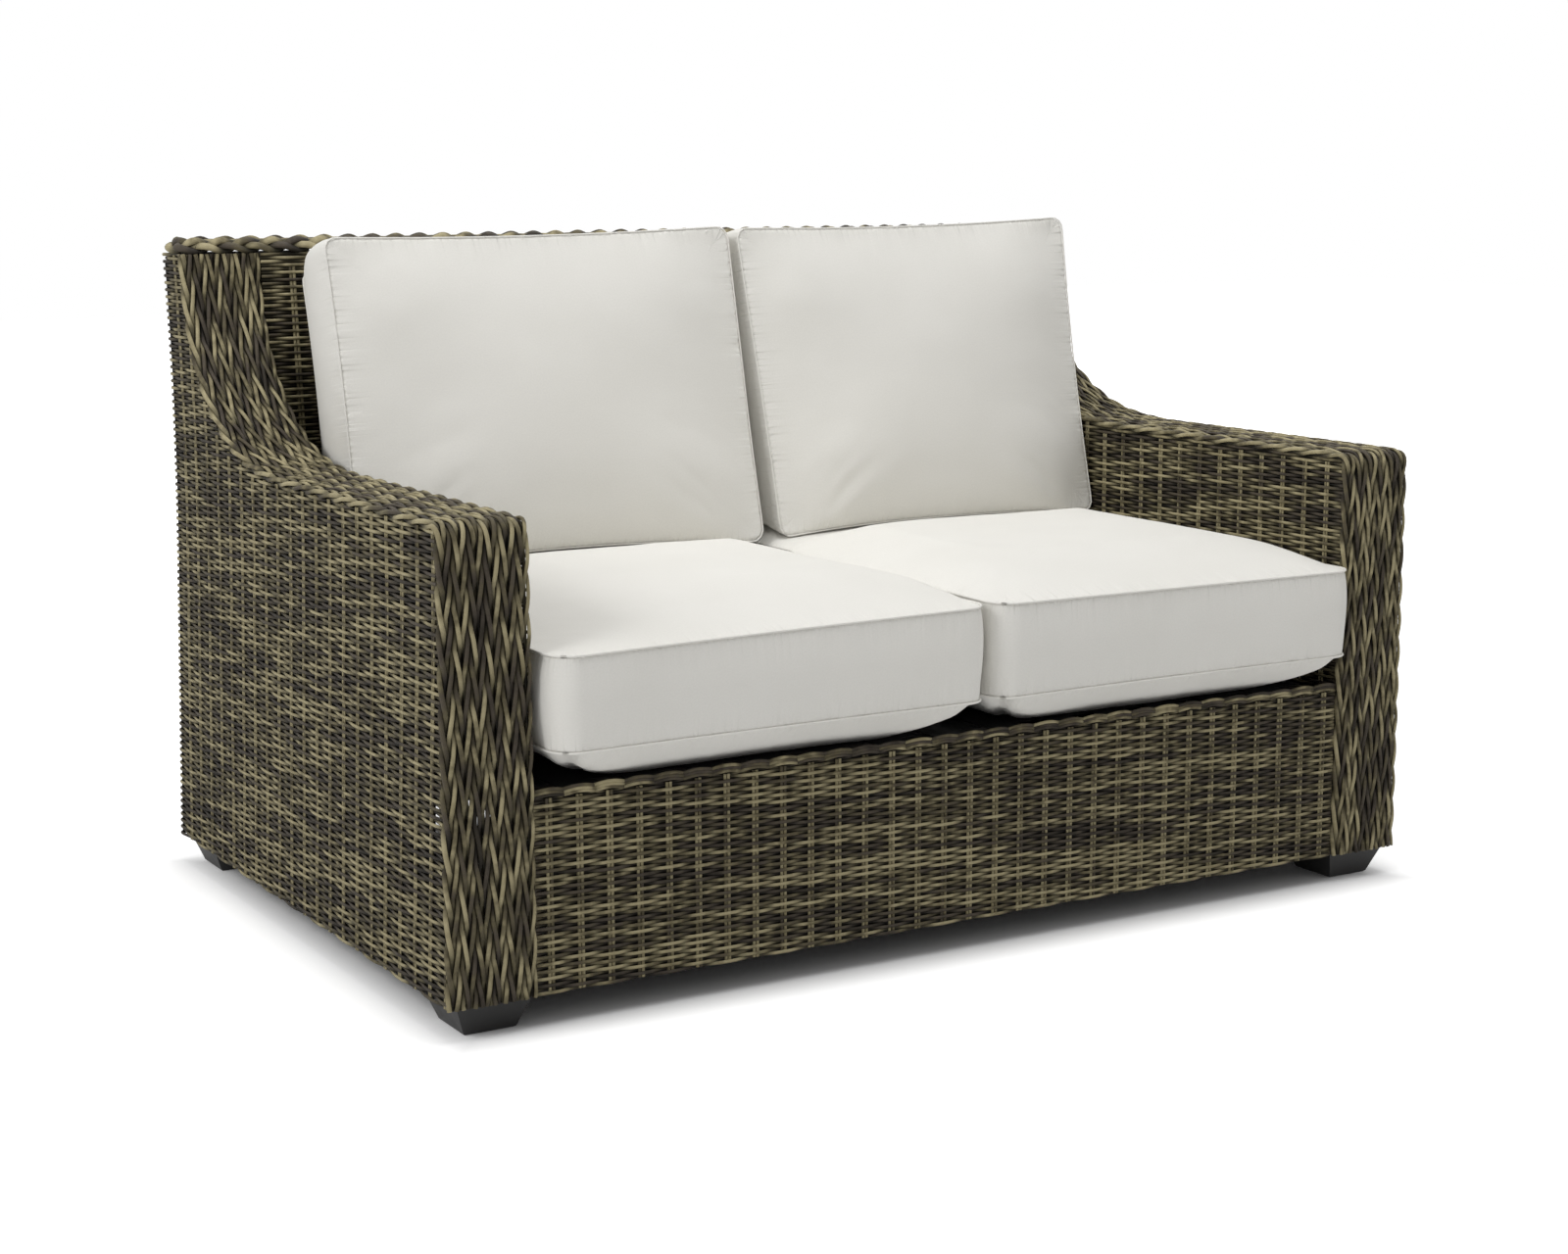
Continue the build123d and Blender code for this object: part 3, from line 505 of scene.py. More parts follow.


# the rows, stakes and painted-shade strips of a wall, from the point and outward direction at a distance and a
# height:
# span gives a row's distances; stakes and shade strips stand on lines counted in pitches, where their clips
# allow
def weaveWall(at, pitch, rows, span, heights, lines, clips=(None, None), phase=0.0):
    low, high, rowPitch = rows
    count = int((high - low) / rowPitch)
    woven, stakes, shadeStrip = [], [], []
    for number in range(count):
        height = low + (high - low) * (number + 0.5) / count
        places = span(height)
        if places:
            points, outs = zip(*(at(s, height) for s in places))
            woven.append(strandOf(points, [s / pitch + phase + number for s in places], outs))
    pair = (-weave["stakeGap"], weave["stakeGap"])
    for strands, numbers, offsets, turn, clip in (
        (stakes, lines[0], pair, weave["stakeTurn"], clips[0]),
        (shadeStrip, lines[1], (0.0,), weave["shadeStripTurn"], clips[1]),
    ):
        for k in numbers:
            line = [at(pitch * k, z) for z in heights]
            kept = [place for place in line if clip is None or clip(*place[0][1:])]
            if len(kept) > 2:
                points, outs = (np.array(values, float) for values in zip(*kept))
                along = np.abs(np.cross(outs, (0, 0, 1)))
                turns = [turn] * len(kept)
                strands += [strandOf(points + along * offset, turns, outs, (1, 0, 0)) for offset in offsets]
    return woven, stakes, shadeStrip


# the left outer side, from the edging to the rear corner and round it
def outerSide():
    edge, pitch = frontAt(weave["edgeInset"]), weave["stakePitch"]
    gaps, count = weave["frontGaps"], weave["sideStakes"]["outer"]

    def at(s, z):
        turn = max(0.0, (cornerHalf - s) / cornerRadius)
        out = (-math.cos(turn), math.sin(turn), 0)
        y = rearAt(z) - weave["cornerInset"] + cornerRadius * out[1] - max(0.0, s - cornerHalf)
        return (cornerRadius * out[0] - backReach, y, z), out

    def span(height):
        reach = rearAt(height) - weave["cornerInset"] - edge(height) + cornerHalf
        if reach < weave["shortestRow"]:
            return []
        steps = [s for s in stepsAlong(pitch, count) if cornerHalf + gaps[0] < s < reach - gaps[0]]
        return [reach] + steps[::-1] + [cornerHalf * share for share in (1, 0.5, 0, -0.5, -1)]

    return weaveWall(
        at, pitch, (loveseat["footTop"], loveseat["borderLow"], weave["rowPitch"]), span,
        upward(loveseat["footTop"], loveseat["borderLow"], weave["sideStep"]),
        (range(1, count), between(count)), [lambda y, z, gap=gap: y > edge(z) + gap for gap in gaps],
    )


def innerSide():
    edge, pitch, front = frontAt(weave["edgeInset"]), weave["stakePitch"], loveseat["front"]
    x, count = -(loveseat["armInner"] + weave["planeInset"]), weave["sideStakes"]["inner"]

    def span(height):
        begin, end = edge(height) - front, backFace(height) + weave["rowLap"] - front
        if end - begin < weave["shortestRow"]:
            return []
        return [begin] + [s for s in stepsAlong(pitch, count + 1) if begin <= s < end]

    return weaveWall(
        lambda s, z: ((x, front + s, z), (1, 0, 0)), pitch,
        (loveseat["deck"], weave["innerSideTop"], weave["rowPitch"]), span,
        upward(loveseat["deck"], weave["innerStakeTop"], weave["sideStep"]),
        (range(1, count), between(count)),
        [lambda y, z, gap=gap, lap=lap: edge(z) + gap < y < backFace(z) + lap
         for gap, lap in zip(weave["frontGaps"], weave["rearLaps"])],
    )


# the left half of the back's outside
def backHalf():
    low, high, half = loveseat["footTop"], loveseat["borderLow"], weave["backPitches"] // 2
    places = [cornerHalf] + stepsAlong(backPitch, half, 1)
    return weaveWall(
        lambda s, z: ((s - backReach - cornerHalf, rearAt(z) - weave["planeInset"], z), (0, 1, 0)), backPitch,
        (low, high, weave["rowPitch"]), lambda height: places,
        upward(low, high, weave["backStep"]), (range(1, half + 1), between(half)),
    )


def innerBack():
    low, high, reach = loveseat["deck"], loveseat["borderLow"], loveseat["armInner"]
    count = weave["innerBackPitches"]
    pitch = 2 * reach / count
    return weaveWall(
        lambda s, z: ((s - reach, backFace(z) + weave["planeInset"], z), (0, -1, 0)), pitch,
        (low, high, weave["innerBackPitch"]), lambda height: stepsAlong(pitch, count),
        upward(low, high, weave["backStep"]), (range(1, count), between(count)),
    )


# the three pieces of a weave
def weavePieces(label, side, node, rows, stakes, shadeStrip, sizes=shadeStripSizes):
    strandPiece(label + "Weave" + side, rows, rowSizes, [node])
    strandPiece(label + "Stakes" + side, stakes, stakeSizes)
    strandPiece(label + "Liner" + side, shadeStrip, sizes)


def buildWeaves():
    for label, strands in (("outer", outerSide()), ("inner", innerSide())):
        for turn, side in ((list, "Left"), (mirrored, "Right")):
            weavePieces(label, side, label + "_side_weave_" + side.lower(), *(turn(s) for s in strands))
    rows, stakes, shadeStrip = backHalf()
    strandPiece("backWeaveLeft", rows, rowSizes, ["back_outer_weave"])
    strandPiece("backWeaveRight", mirrored(rows), rowSizes)
    strandPiece("backStakes", stakes + mirrored(stakes[:-2]), stakeSizes)  # the middle pair stands once
    strandPiece("backLiner", shadeStrip + mirrored(shadeStrip), shadeStripSizes)
    weavePieces("innerBack", "", "back_inner_weave", *innerBack())


buildWeaves()

# the apron under the seat, with arched strands along its top
apron = {"rowPitch": 0.00425, "stakes": 31, "stakePoints": 13, "stakeRise": 0.002, "planeInset": 0.005,
         "top": 0.270, "arches": (0.2735, 0.2770, 0.2805), "archSteps": 8, "shadeStripWidth": 0.0412}
archSizes = {"Strand Width": 0.0043, "Strand Thickness": 0.0032, "Wave Depth": 0.0028, "Lift": 0.0030,
             "Sides": 6, "Tone Spread": (12.0, 12.0, 12.0), "Tone Lift": -0.03}


def buildApron():
    reach, count = loveseat["armInner"], apron["stakes"]
    pitch = 2 * reach / count
    y = loveseat["front"] + loveseat["apronRecess"] + apron["planeInset"]
    low, top = loveseat["footTop"], apron["top"]
    strands = weaveWall(
        lambda s, z: ((s - reach, y, z), (0, -1, 0)), pitch, (low, top, apron["rowPitch"]),
        lambda height: stepsAlong(pitch, count),
        np.linspace(low + weave["endGap"], top + apron["stakeRise"], apron["stakePoints"]),
        (between(count), range(1, count)), phase=-0.5,
    )
    arches = []
    fine = [pitch * k / apron["archSteps"] for k in range(count * apron["archSteps"] + 1)]
    for height in apron["arches"]:
        for phase in (-0.5, 0.5):
            points = [(s - reach, y, height) for s in fine]
            arches.append(strandOf(points, [s / pitch + phase for s in fine], [(0, -1, 0)] * len(fine)))
    sizes = dict(shadeStripSizes, **{"Strand Width": apron["shadeStripWidth"]})
    weavePieces("apron", "", "apron_weave", *strands, sizes)
    strandPiece("apronBorder", arches, archSizes, ["apron_top_border"])


buildApron()

# twisted pairs of strands that run up the front of the arm, over it and up the swoop
armBand = {"columns": 12, "pitch": 0.092, "step": 0.005, "insets": (0.0078, 0.0058, 0.005), "phaseStep": 0.13,
           "phaseOrder": (5, 7), "outerEdge": 0.0060, "innerEdge": 0.0046, "underDepth": 0.0022,
           "underTurn": 0.93, "edgeUnders": (1.4, 0.3)}
bandSizes = {"Strand Width": 0.0057, "Strand Thickness": 0.0036, "Wave Depth": 0.0024, "Sway": 0.0036,
             "Hidden Swell": 0.25, "Sides": 6, "Tone Spread": (10.0, 8.0, 8.0)}
edgeSizes = dict(bandSizes, **{"Strand Width": 0.0064, "Strand Thickness": 0.0044, "Wave Depth": 0.0026,
                               "Sway": 0.0034, "Hidden Swell": 0.35, "Tone Lift": 0.05})


def twistPair(points, tangents, outs, places, hand, phase):
    across = np.cross(tangents, outs) * hand
    return [(points, places / (armBand["pitch"] / 2) + phase + half, outs, across) for half in (0.0, 1.0)]


def armColumns():
    width = (loveseat["side"] - loveseat["armInner"]) / armBand["columns"]
    stride, period = armBand["phaseOrder"]
    band, outer, inner = [], [], []
    for column in range(armBand["columns"]):
        fromEdge = min(column, armBand["columns"] - 1 - column)
        legs = armLegs(armBand["insets"][min(fromEdge, 2)], loveseat["footTop"])
        length = totalLength(legs) - weave["endGap"]
        places = np.linspace(weave["endGap"], length, int(length / armBand["step"]))
        flat, headings = alongLegs(legs, places)
        x = -loveseat["side"] + width * (column + 0.5)
        strands, edgeUnder = band, None
        if column == 0:
            strands, edgeUnder = outer, armBand["edgeUnders"][0]
            x = armBand["outerEdge"] - loveseat["side"]
        elif fromEdge == 0:
            strands, edgeUnder = inner, armBand["edgeUnders"][1]
            x = -loveseat["armInner"] - armBand["innerEdge"]
        none = np.zeros(len(places))
        points = np.column_stack((none + x, flat))
        tangents = np.column_stack((none, np.cos(headings), np.sin(headings)))
        outs = np.column_stack((none, -np.sin(headings), np.cos(headings)))
        if edgeUnder:
            outs[:, 0] = -1.0 if column == 0 else 1.0
            outs /= math.sqrt(2)
        # strands under the pairs close the band; their deep turn sets them back and darkens them with painted
        # shade
        unders = [points - outs * armBand["underDepth"] - np.array((width / 2, 0.0, 0.0))] if column else []
        unders += [points - outs * armBand["underDepth"] * edgeUnder] if edgeUnder else []
        turns = np.full(len(places), armBand["underTurn"])
        band += [(under, turns, outs, np.cross(tangents, outs)) for under in unders]
        phase = armBand["phaseStep"] * ((column * stride) % period)
        strands += twistPair(points, tangents, outs, places, 1 if column % 2 else -1, phase)
    return band, outer, inner


def buildArms():
    band, outer, inner = armColumns()
    for turn, side in ((list, "Left"), (mirrored, "Right")):
        tail = "_" + side.lower()
        strandPiece("armBand" + side, turn(band), bandSizes, ["arm_band" + tail])
        strandPiece("outerEdging" + side, turn(outer), edgeSizes, ["outer_edging" + tail])
        strandPiece("innerEdging" + side, turn(inner), edgeSizes, ["inner_edging" + tail])


buildArms()

# the plaited border round the top of the back, with twisted pairs between
topBorder = {"pitch": 0.111, "step": 0.005, "columns": 7, "plaitReach": 0.0075, "plaitDepth": 0.0042,
             "plaitTurn": 0.4, "middle": 0.880, "inset": 0.012, "bend": 0.016, "pairsInset": 0.020,
             "pairsHeight": 0.884, "phaseStep": 0.17}
plaitSizes = {"Strand Width": 0.0118, "Strand Thickness": 0.0076, "Sides": 8,
              "Tone Spread": (12.0, 12.0, 12.0), "Tone Lift": -0.04}


def borderLoop():
    x, low = loveseat["side"] - topBorder["inset"], loveseat["swoopEnd"] + topBorder["inset"]
    high = rearAt(loveseat["borderLow"]) - topBorder["inset"]
    bend = min(topBorder["bend"], (high - low) / 2)
    half = [(2 * (x - bend), 0.0), (bend * math.pi / 2, math.pi / 2),
            (high - low - 2 * bend, 0.0), (bend * math.pi / 2, math.pi / 2)]
    return walkMoves((-x + bend, low), 0.0, half + half)[0]


def buildTopBorder():
    legs = borderLoop()
    length = totalLength(legs)
    lumps = round(length / topBorder["pitch"])
    places = np.linspace(0, length, int(length / topBorder["step"]))
    flat, headings = alongLegs(legs, places)
    outward = np.column_stack((np.sin(headings), -np.cos(headings), np.zeros(len(places))))
    skyward = np.array((0.0, 0.0, 1.0))
    slant, cross = (outward + skyward) / math.sqrt(2), (outward - skyward) / math.sqrt(2)
    strands = []
    for number in range(3):
        angle = 2 * math.pi * (places / length * lumps + number / 3)
        lateral, height = np.sin(angle), np.sin(2 * angle)
        points = np.column_stack((flat, np.full(len(places), topBorder["middle"])))
        points = points + cross * (lateral * topBorder["plaitReach"])[:, None]
        points = points + slant * (height * topBorder["plaitDepth"])[:, None]
        # the turn only darkens the plait with painted shade where a strand dips under the others
        strands.append((points, 0.5 - height * topBorder["plaitTurn"], slant, cross))
    strandPiece("borderPlait", strands, plaitSizes, ["back_top_border"])
    inset = topBorder["pairsInset"]
    front, rear = loveseat["swoopEnd"] + inset, rearAt(loveseat["borderLow"]) - inset
    reach = loveseat["side"] - inset
    places = np.arange(0, 2 * reach, topBorder["step"])
    tangents, outs = (np.tile(np.array(axis, float), (len(places), 1)) for axis in ((1, 0, 0), (0, 0, 1)))
    pairs = []
    for column in range(topBorder["columns"]):
        y = front + (rear - front) * (column + 0.5) / topBorder["columns"]
        points = tangents * (places - reach)[:, None] + np.array((0.0, y, topBorder["pairsHeight"]))
        phase = topBorder["phaseStep"] * column
        pairs += twistPair(points, tangents, outs, places, 1 if column % 2 else -1, phase)
    strandPiece("borderPairs", pairs, bandSizes)


buildTopBorder()

# cushions: stuffed covers with a boxing strip between two sewn seams, in each cushion's own frame:
# across its width, along its depth or height, and out through its main panel
cushions = {
    "cell": 0.009, "outlineReach": 0.08, "crease": 0.9, "bulgePower": 0.7,
    "drawShares": ((0, 0.5, 1), (0, 0.2, 1)),  # down the boxing, and drawn in by there
    "cloth": {"use_pressure": True, "uniform_pressure_force": 4.0, "vertex_group_mass": "seams", "quality": 4,
              "mass": 0.02, "tension_stiffness": 5.0, "compression_stiffness": 5.0},
    "frames": 10, "fullness": 0.72,
    "pucker": 0.0016, "puckerReach": 0.014, "puckerScale": 48.0, "puckerFrom": 0.004,
    "unevenness": 0.0020, "broadScale": 6.5, "smallScale": 17.0, "smallShare": 0.35, "evenNear": 0.02,
    "weltWidth": {"seat": 0.0030, "back": 0.0024}, "weltProud": 0.0013,
    "seat": {
        "start": (-0.083, 0.446), "lean": 0.0, "halfDepth": 0.413, "corner": 0.030, "boxing": 0.116,
        "Left": {"middle": -0.2965, "halfWidth": 0.2955, "gap": -0.0095, "tilt": (-0.004, 0.003),
                 "slack": 0.150, "narrowing": 0.0, "seed": 3.0},
        "Right": {"middle": 0.3055, "halfWidth": 0.2915, "gap": 0.0110, "tilt": (0.004, 0.000),
                  "slack": 0.020, "narrowing": 0.0165, "seed": 11.0},
        "cap": 0.012, "roll": 0.0, "bulge": 0.008, "draw": 0.0, "pullIn": 0.004,
        "face": (0.036, 0.042, 0.150, "gentle"), "under": (0.054, 0.070, 0.070, "full"),
    },
    "back": {
        "start": (0.102, 0.474), "lean": 10.6, "halfDepth": 0.213, "corner": 0.014, "boxing": 0.150,
        "Left": {"middle": -0.2945, "halfWidth": 0.298, "gap": -0.0234, "lift": (0.000, 0.006),
                 "slant": (0.000, 0.016), "slack": 0.0, "narrowing": 0.0, "seed": 23.0},
        "Right": {"middle": 0.3135, "halfWidth": 0.284, "gap": 0.0252, "lift": (0.003, 0.011),
                  "slant": (0.022, 0.006), "slack": 0.0, "narrowing": 0.0, "seed": 41.0},
        "cap": 0.020, "roll": 0.030, "bulge": 0.012, "draw": 0.022, "pullIn": 0.005,
        "face": (0.036, 0.110, 0.120, "gentle"), "under": (0.080, 0.120, 0.120, "full"),
    },
}
fabricFinish = {
    "colours": ((0.79, 0.775, 0.725, 1), (0.85, 0.835, 0.79, 1)), "broadScale": 7.0, "tint": (0.94, 1.03),
    "threadScale": 260.0, "threadDistortion": 0.6, "slubScale": 420.0, "slubShare": 0.6, "foldScale": 62.0,
    "foldBump": (1.0, 0.006), "threadBump": (0.25, 0.0003),  # strength and distance
    "roughness": (0.82, 0.95), "sheen": 0.1, "gloss": 0.2,
}


def fabricMaterial():
    look = fabricFinish
    material, add, maths = newMaterial("cushionFabric")
    place, thread = add("TexCoord").outputs["Object"], add("UVMap", uv_map="cloth")
    broad = add("TexNoise", {"Vector": place, "Scale": look["broadScale"], "Detail": 3.0})
    first, second = look["colours"]
    colour = add("Mix", {"Factor": broad, "A": first, "B": second}, data_type="RGBA")
    slub = add("TexNoise", {"Vector": thread, "Scale": look["slubScale"]})
    warp, weft = (add("TexWave", {
        "Vector": thread, "Scale": look["threadScale"], "Distortion": look["threadDistortion"],
    }, bands_direction=axis).outputs["Fac"] for axis in "XY")
    height = maths("MULTIPLY_ADD", slub, look["slubShare"], maths("MAXIMUM", warp, weft))
    woven = add("VectorMath", {0: colour, "Scale": spreadTo(add, slub, look["tint"])}, operation="SCALE")
    # fine folds that run away from the seams
    run = add("Attribute", attribute_name="seamRun").outputs["Vector"]
    near = add("Attribute", attribute_name="seamNear").outputs["Fac"]
    fold = add("TexNoise", {"Vector": run, "Scale": look["foldScale"], "Detail": 2.0})
    strength, distance = look["foldBump"]
    folds = add("Bump", {"Height": maths("MULTIPLY", fold, near), "Strength": strength, "Distance": distance})
    strength, distance = look["threadBump"]
    threads = add("Bump", {"Height": height, "Strength": strength, "Distance": distance, "Normal": folds})
    addShader(add, {"Base Color": woven, "Roughness": spreadTo(add, slub, look["roughness"]), "Normal": threads,
                    "Sheen Weight": look["sheen"], "Specular IOR Level": look["gloss"]})
    return material


fabric = fabricMaterial()


def eased(share):
    return share * share * (3 - 2 * share)


# a rectangle's edge point moved onto its rounded and slightly drawn-in outline
def outlinePoint(a, b, halfA, halfB, corner, pullIn):
    cornerA, cornerB = halfA - abs(a), halfB - abs(b)
    along = max(cornerA, cornerB)
    if along < corner:
        swing = (1 - along / corner) * math.pi / 4
        if cornerA > cornerB:
            swing = math.pi / 2 - swing
        x = halfA - corner + corner * math.cos(swing)
        y = halfB - corner + corner * math.sin(swing)
        return math.copysign(x, a), math.copysign(y, b)
    if cornerA > cornerB:
        return a, b - math.copysign(pullIn * (1 - (a / (halfA - corner)) ** 2), b)
    return a - math.copysign(pullIn * (1 - (b / (halfB - corner)) ** 2), a), b


# how far a panel rises from its seams; the full style has a squarer plan than the gentle one
def crown(distA, distB, shape, slack=0.0, squareness=3.5):
    rise, reachA, reachB, style = shape
    spreadA, spreadB = np.clip(distA / (reachA + slack), 0, 1), np.clip(distB / reachB, 0, 1)
    if style == "full":
        edge = ((1 - spreadA) ** squareness + (1 - spreadB) ** squareness) ** (1 / squareness)
        return rise * np.sqrt(1 - np.minimum(edge, 1) ** 2)
    return rise * np.sin(spreadA * math.pi / 2) * np.sin(spreadB * math.pi / 2)


rollShape = {"gain": 1.5, "sideReach": 0.12, "start": 0.020, "fade": 0.085}


# the lower front of a back cushion rolls forward over the seat
def lowerRoll(distA, fromBottom, roll):
    sideways = 0.5 - 0.5 * np.cos(np.clip(distA / rollShape["sideReach"], 0, 1) * math.pi)
    rise = (1 - np.exp(-fromBottom / rollShape["start"])) * np.exp(-fromBottom / rollShape["fade"])
    return roll * rollShape["gain"] * sideways * rise


def cushionMesh(kind, side, fullness):
    shape, reach = cushions[kind], cushions["outlineReach"]
    halfA, halfB, boxing = shape[side]["halfWidth"], shape["halfDepth"], shape["boxing"]
    countA, countB, rings = (round(size / cushions["cell"]) for size in (2 * halfA, 2 * halfB, boxing))
    a, b = np.meshgrid(np.linspace(-halfA, halfA, countA + 1), np.linspace(-halfB, halfB, countB + 1))
    shiftA, shiftB = np.zeros_like(a), np.zeros_like(b)
    for cell in np.ndindex(a.shape):
        u, v = a[cell] / halfA, b[cell] / halfB
        level = max(abs(u), abs(v))
        inset = (1 - level) * min(halfA, halfB)
        if inset > reach or level == 0:
            continue
        edgeA, edgeB = u / level * halfA, v / level * halfB
        x, y = outlinePoint(edgeA, edgeB, halfA, halfB, shape["corner"], shape["pullIn"])
        weight = (1 - inset / reach) ** 2
        shiftA[cell], shiftB[cell] = (x - edgeA) * weight, (y - edgeB) * weight
    distA, distB = halfA - np.abs(a), halfB - np.abs(b)
    rise = crown(distA, distB, shape["face"], (a < 0) * shape[side]["slack"])
    rise += lowerRoll(distA, b + halfB, shape["roll"])
    shrinkA, shrinkB = 1 - shape["draw"] / halfA, 1 - shape["draw"] / halfB
    sag = -boxing - crown(distA, distB, shape["under"]) * fullness
    faceFlat = np.stack((a + shiftA, b + shiftB, rise * fullness), -1).reshape(-1, 3)
    underFlat = np.stack(((a + shiftA) * shrinkA, (b + shiftB) * shrinkB, sag), -1).reshape(-1, 3)
    index = np.arange(a.size).reshape(a.shape)
    loop = np.concatenate((index[0, :-1], index[:-1, -1], index[-1, :0:-1], index[:0:-1, 0]))
    edge = faceFlat[loop]
    outward = np.roll(edge, -1, 0) - np.roll(edge, 1, 0)
    outward = np.stack((outward[:, 1], -outward[:, 0]), 1) / np.linalg.norm(outward[:, :2], axis=1)[:, None]
    points, total = [faceFlat, underFlat], len(faceFlat)
    layers = [loop]
    for ring in range(1, rings):
        share = ring / rings
        bulge = shape["bulge"] * math.sin(math.pi * share ** cushions["bulgePower"]) * fullness
        drawn = shape["draw"] * np.interp(share, *cushions["drawShares"]) / np.array((halfA, halfB))
        flat = edge[:, :2] * (1 - drawn) + outward * bulge
        points.append(np.column_stack((flat, np.full(len(loop), -boxing * share))))
        layers.append(2 * total + (ring - 1) * len(loop) + np.arange(len(loop)))
    layers.append(loop + total)
    around = np.cumsum(np.linalg.norm(np.diff(np.vstack((edge, edge[:1])), axis=0), axis=1))
    around = np.concatenate(([0.0], around))
    faces, cloth = [], []
    for base, flip, flat in ((0, 1, faceFlat), (total, -1, underFlat)):
        for row, column in np.ndindex(countB, countA):
            corners = index[row:row + 2, column:column + 2].ravel()[[0, 1, 3, 2]]
            faces.append([int(c) + base for c in corners[::flip]])
            cloth += [tuple(flat[c][:2]) for c in corners[::flip]]
    for number, (upper, lower) in enumerate(zip(layers, layers[1:])):
        high, low = -number * boxing / rings, -(number + 1) * boxing / rings
        for k in range(len(loop)):
            after = (k + 1) % len(loop)
            faces.append([int(upper[k]), int(lower[k]), int(lower[after]), int(upper[after])])
            cloth += [(around[k], high), (around[k], low), (around[k + 1], low), (around[k + 1], high)]
    mesh = bpy.data.meshes.new(kind + "Cushion" + side)
    mesh.from_pydata([tuple(p) for p in np.vstack(points)], [], faces)
    mesh.uv_layers.new(name="cloth").data.foreach_set("uv", np.array(cloth, np.float32).ravel())
    sewn = set()
    for ring in (layers[0], layers[-1]):
        sewn |= {tuple(sorted((int(p), int(q)))) for p, q in zip(ring, np.roll(ring, -1))}
    crease = mesh.attributes.new("crease_edge", "FLOAT", "EDGE")
    for number, key in enumerate(mesh.edge_keys):
        if tuple(sorted(key)) in sewn:
            crease.data[number].value = cushions["crease"]
    return mesh, layers[0], layers[-1]


def vertexArray(mesh, kind="co"):
    values = np.empty(len(mesh.vertices) * 3, np.float32)
    mesh.vertices.foreach_get(kind, values)
    return values.reshape(-1, 3).astype(float)


def setVertices(mesh, places):
    mesh.vertices.foreach_set("co", places.astype(np.float32).ravel())
    mesh.update()


# air pressure swells the sewn cover between its seams, which stay put
def stuff(piece, kind, sewn):
    start = vertexArray(piece.data)
    piece.vertex_groups.new(name="seams").add([int(i) for i in sewn], 1.0, "REPLACE")
    cloth = piece.modifiers.new("cloth", "CLOTH")
    for name, value in cushions["cloth"].items():
        setattr(cloth.settings, name, value)
    cloth.settings.effector_weights.gravity = 0.0
    cloth.collision_settings.use_collision = False
    cloth.point_cache.frame_start, cloth.point_cache.frame_end = 1, cushions["frames"]
    for number in range(1, cushions["frames"] + 1):
        scene.frame_set(number)
    evaluated = piece.evaluated_get(bpy.context.evaluated_depsgraph_get())
    move = vertexArray(evaluated.to_mesh()) - start
    evaluated.to_mesh_clear()
    piece.modifiers.clear()
    piece.vertex_groups.clear()
    scene.frame_set(1)
    length = np.linalg.norm(move, axis=1)
    move *= np.minimum(1.0, cushions[kind]["cap"] / np.maximum(length, 1e-9))[:, None]
    setVertices(piece.data, start + move)
    most, mean = (round(float(value) * 1000, 1) for value in (length.max(), length.mean()))
    print(piece.name, "swelled by up to", most, "mm, mean", mean)


# where the cushions rest: on the deck, on each other, between the arms and in front of the back
rest = {
    "deck": 0.2738, "side": 0.6052, "rear": 0.3835, "backGap": 0.0016, "height": 0.4734, "apart": 0.0009,
    "front": 0.006, "start": 0.155, "over": 0.06,  # the rest's slope down to its front
    "middle": 0.304, "half": 0.29, "power": 2.2, "innerEnd": 0.012, "outerEnd": 0.007,  # and to its ends
    "openFrom": 0.062, "openSlope": 0.3, "narrowFrom": -0.03, "narrowOver": 0.08,
}


# height at which the back cushion rests on the seat cushion: lower at the front and towards the ends
def restHeight(places):
    across = (np.abs(places[:, 0]) - rest["middle"]) / rest["half"]
    ends = np.abs(across) ** rest["power"] * np.where(across < 0, rest["innerEnd"], rest["outerEnd"])
    ahead = np.clip((rest["start"] - places[:, 1]) / rest["over"], 0, 1)
    return rest["height"] - (rest["front"] + ends) * eased(ahead)


# the right seat cushion is narrower where the left back cushion stands over the middle
def narrowing(kind, side, points):
    behind = np.clip((points[:, 1] - rest["narrowFrom"]) / rest["narrowOver"], 0, 1)
    return cushions[kind][side]["narrowing"] * eased(behind)


placing = {"lead": 0.008, "sinkOver": 0.16, "sinkFrontOver": 0.03, "sinkShares": (0.6, 0.4), "sinkPast": 0.004,
           "slantPower": 1.6, "slantShares": (0.4, 0.6), "slantReach": 1.8}


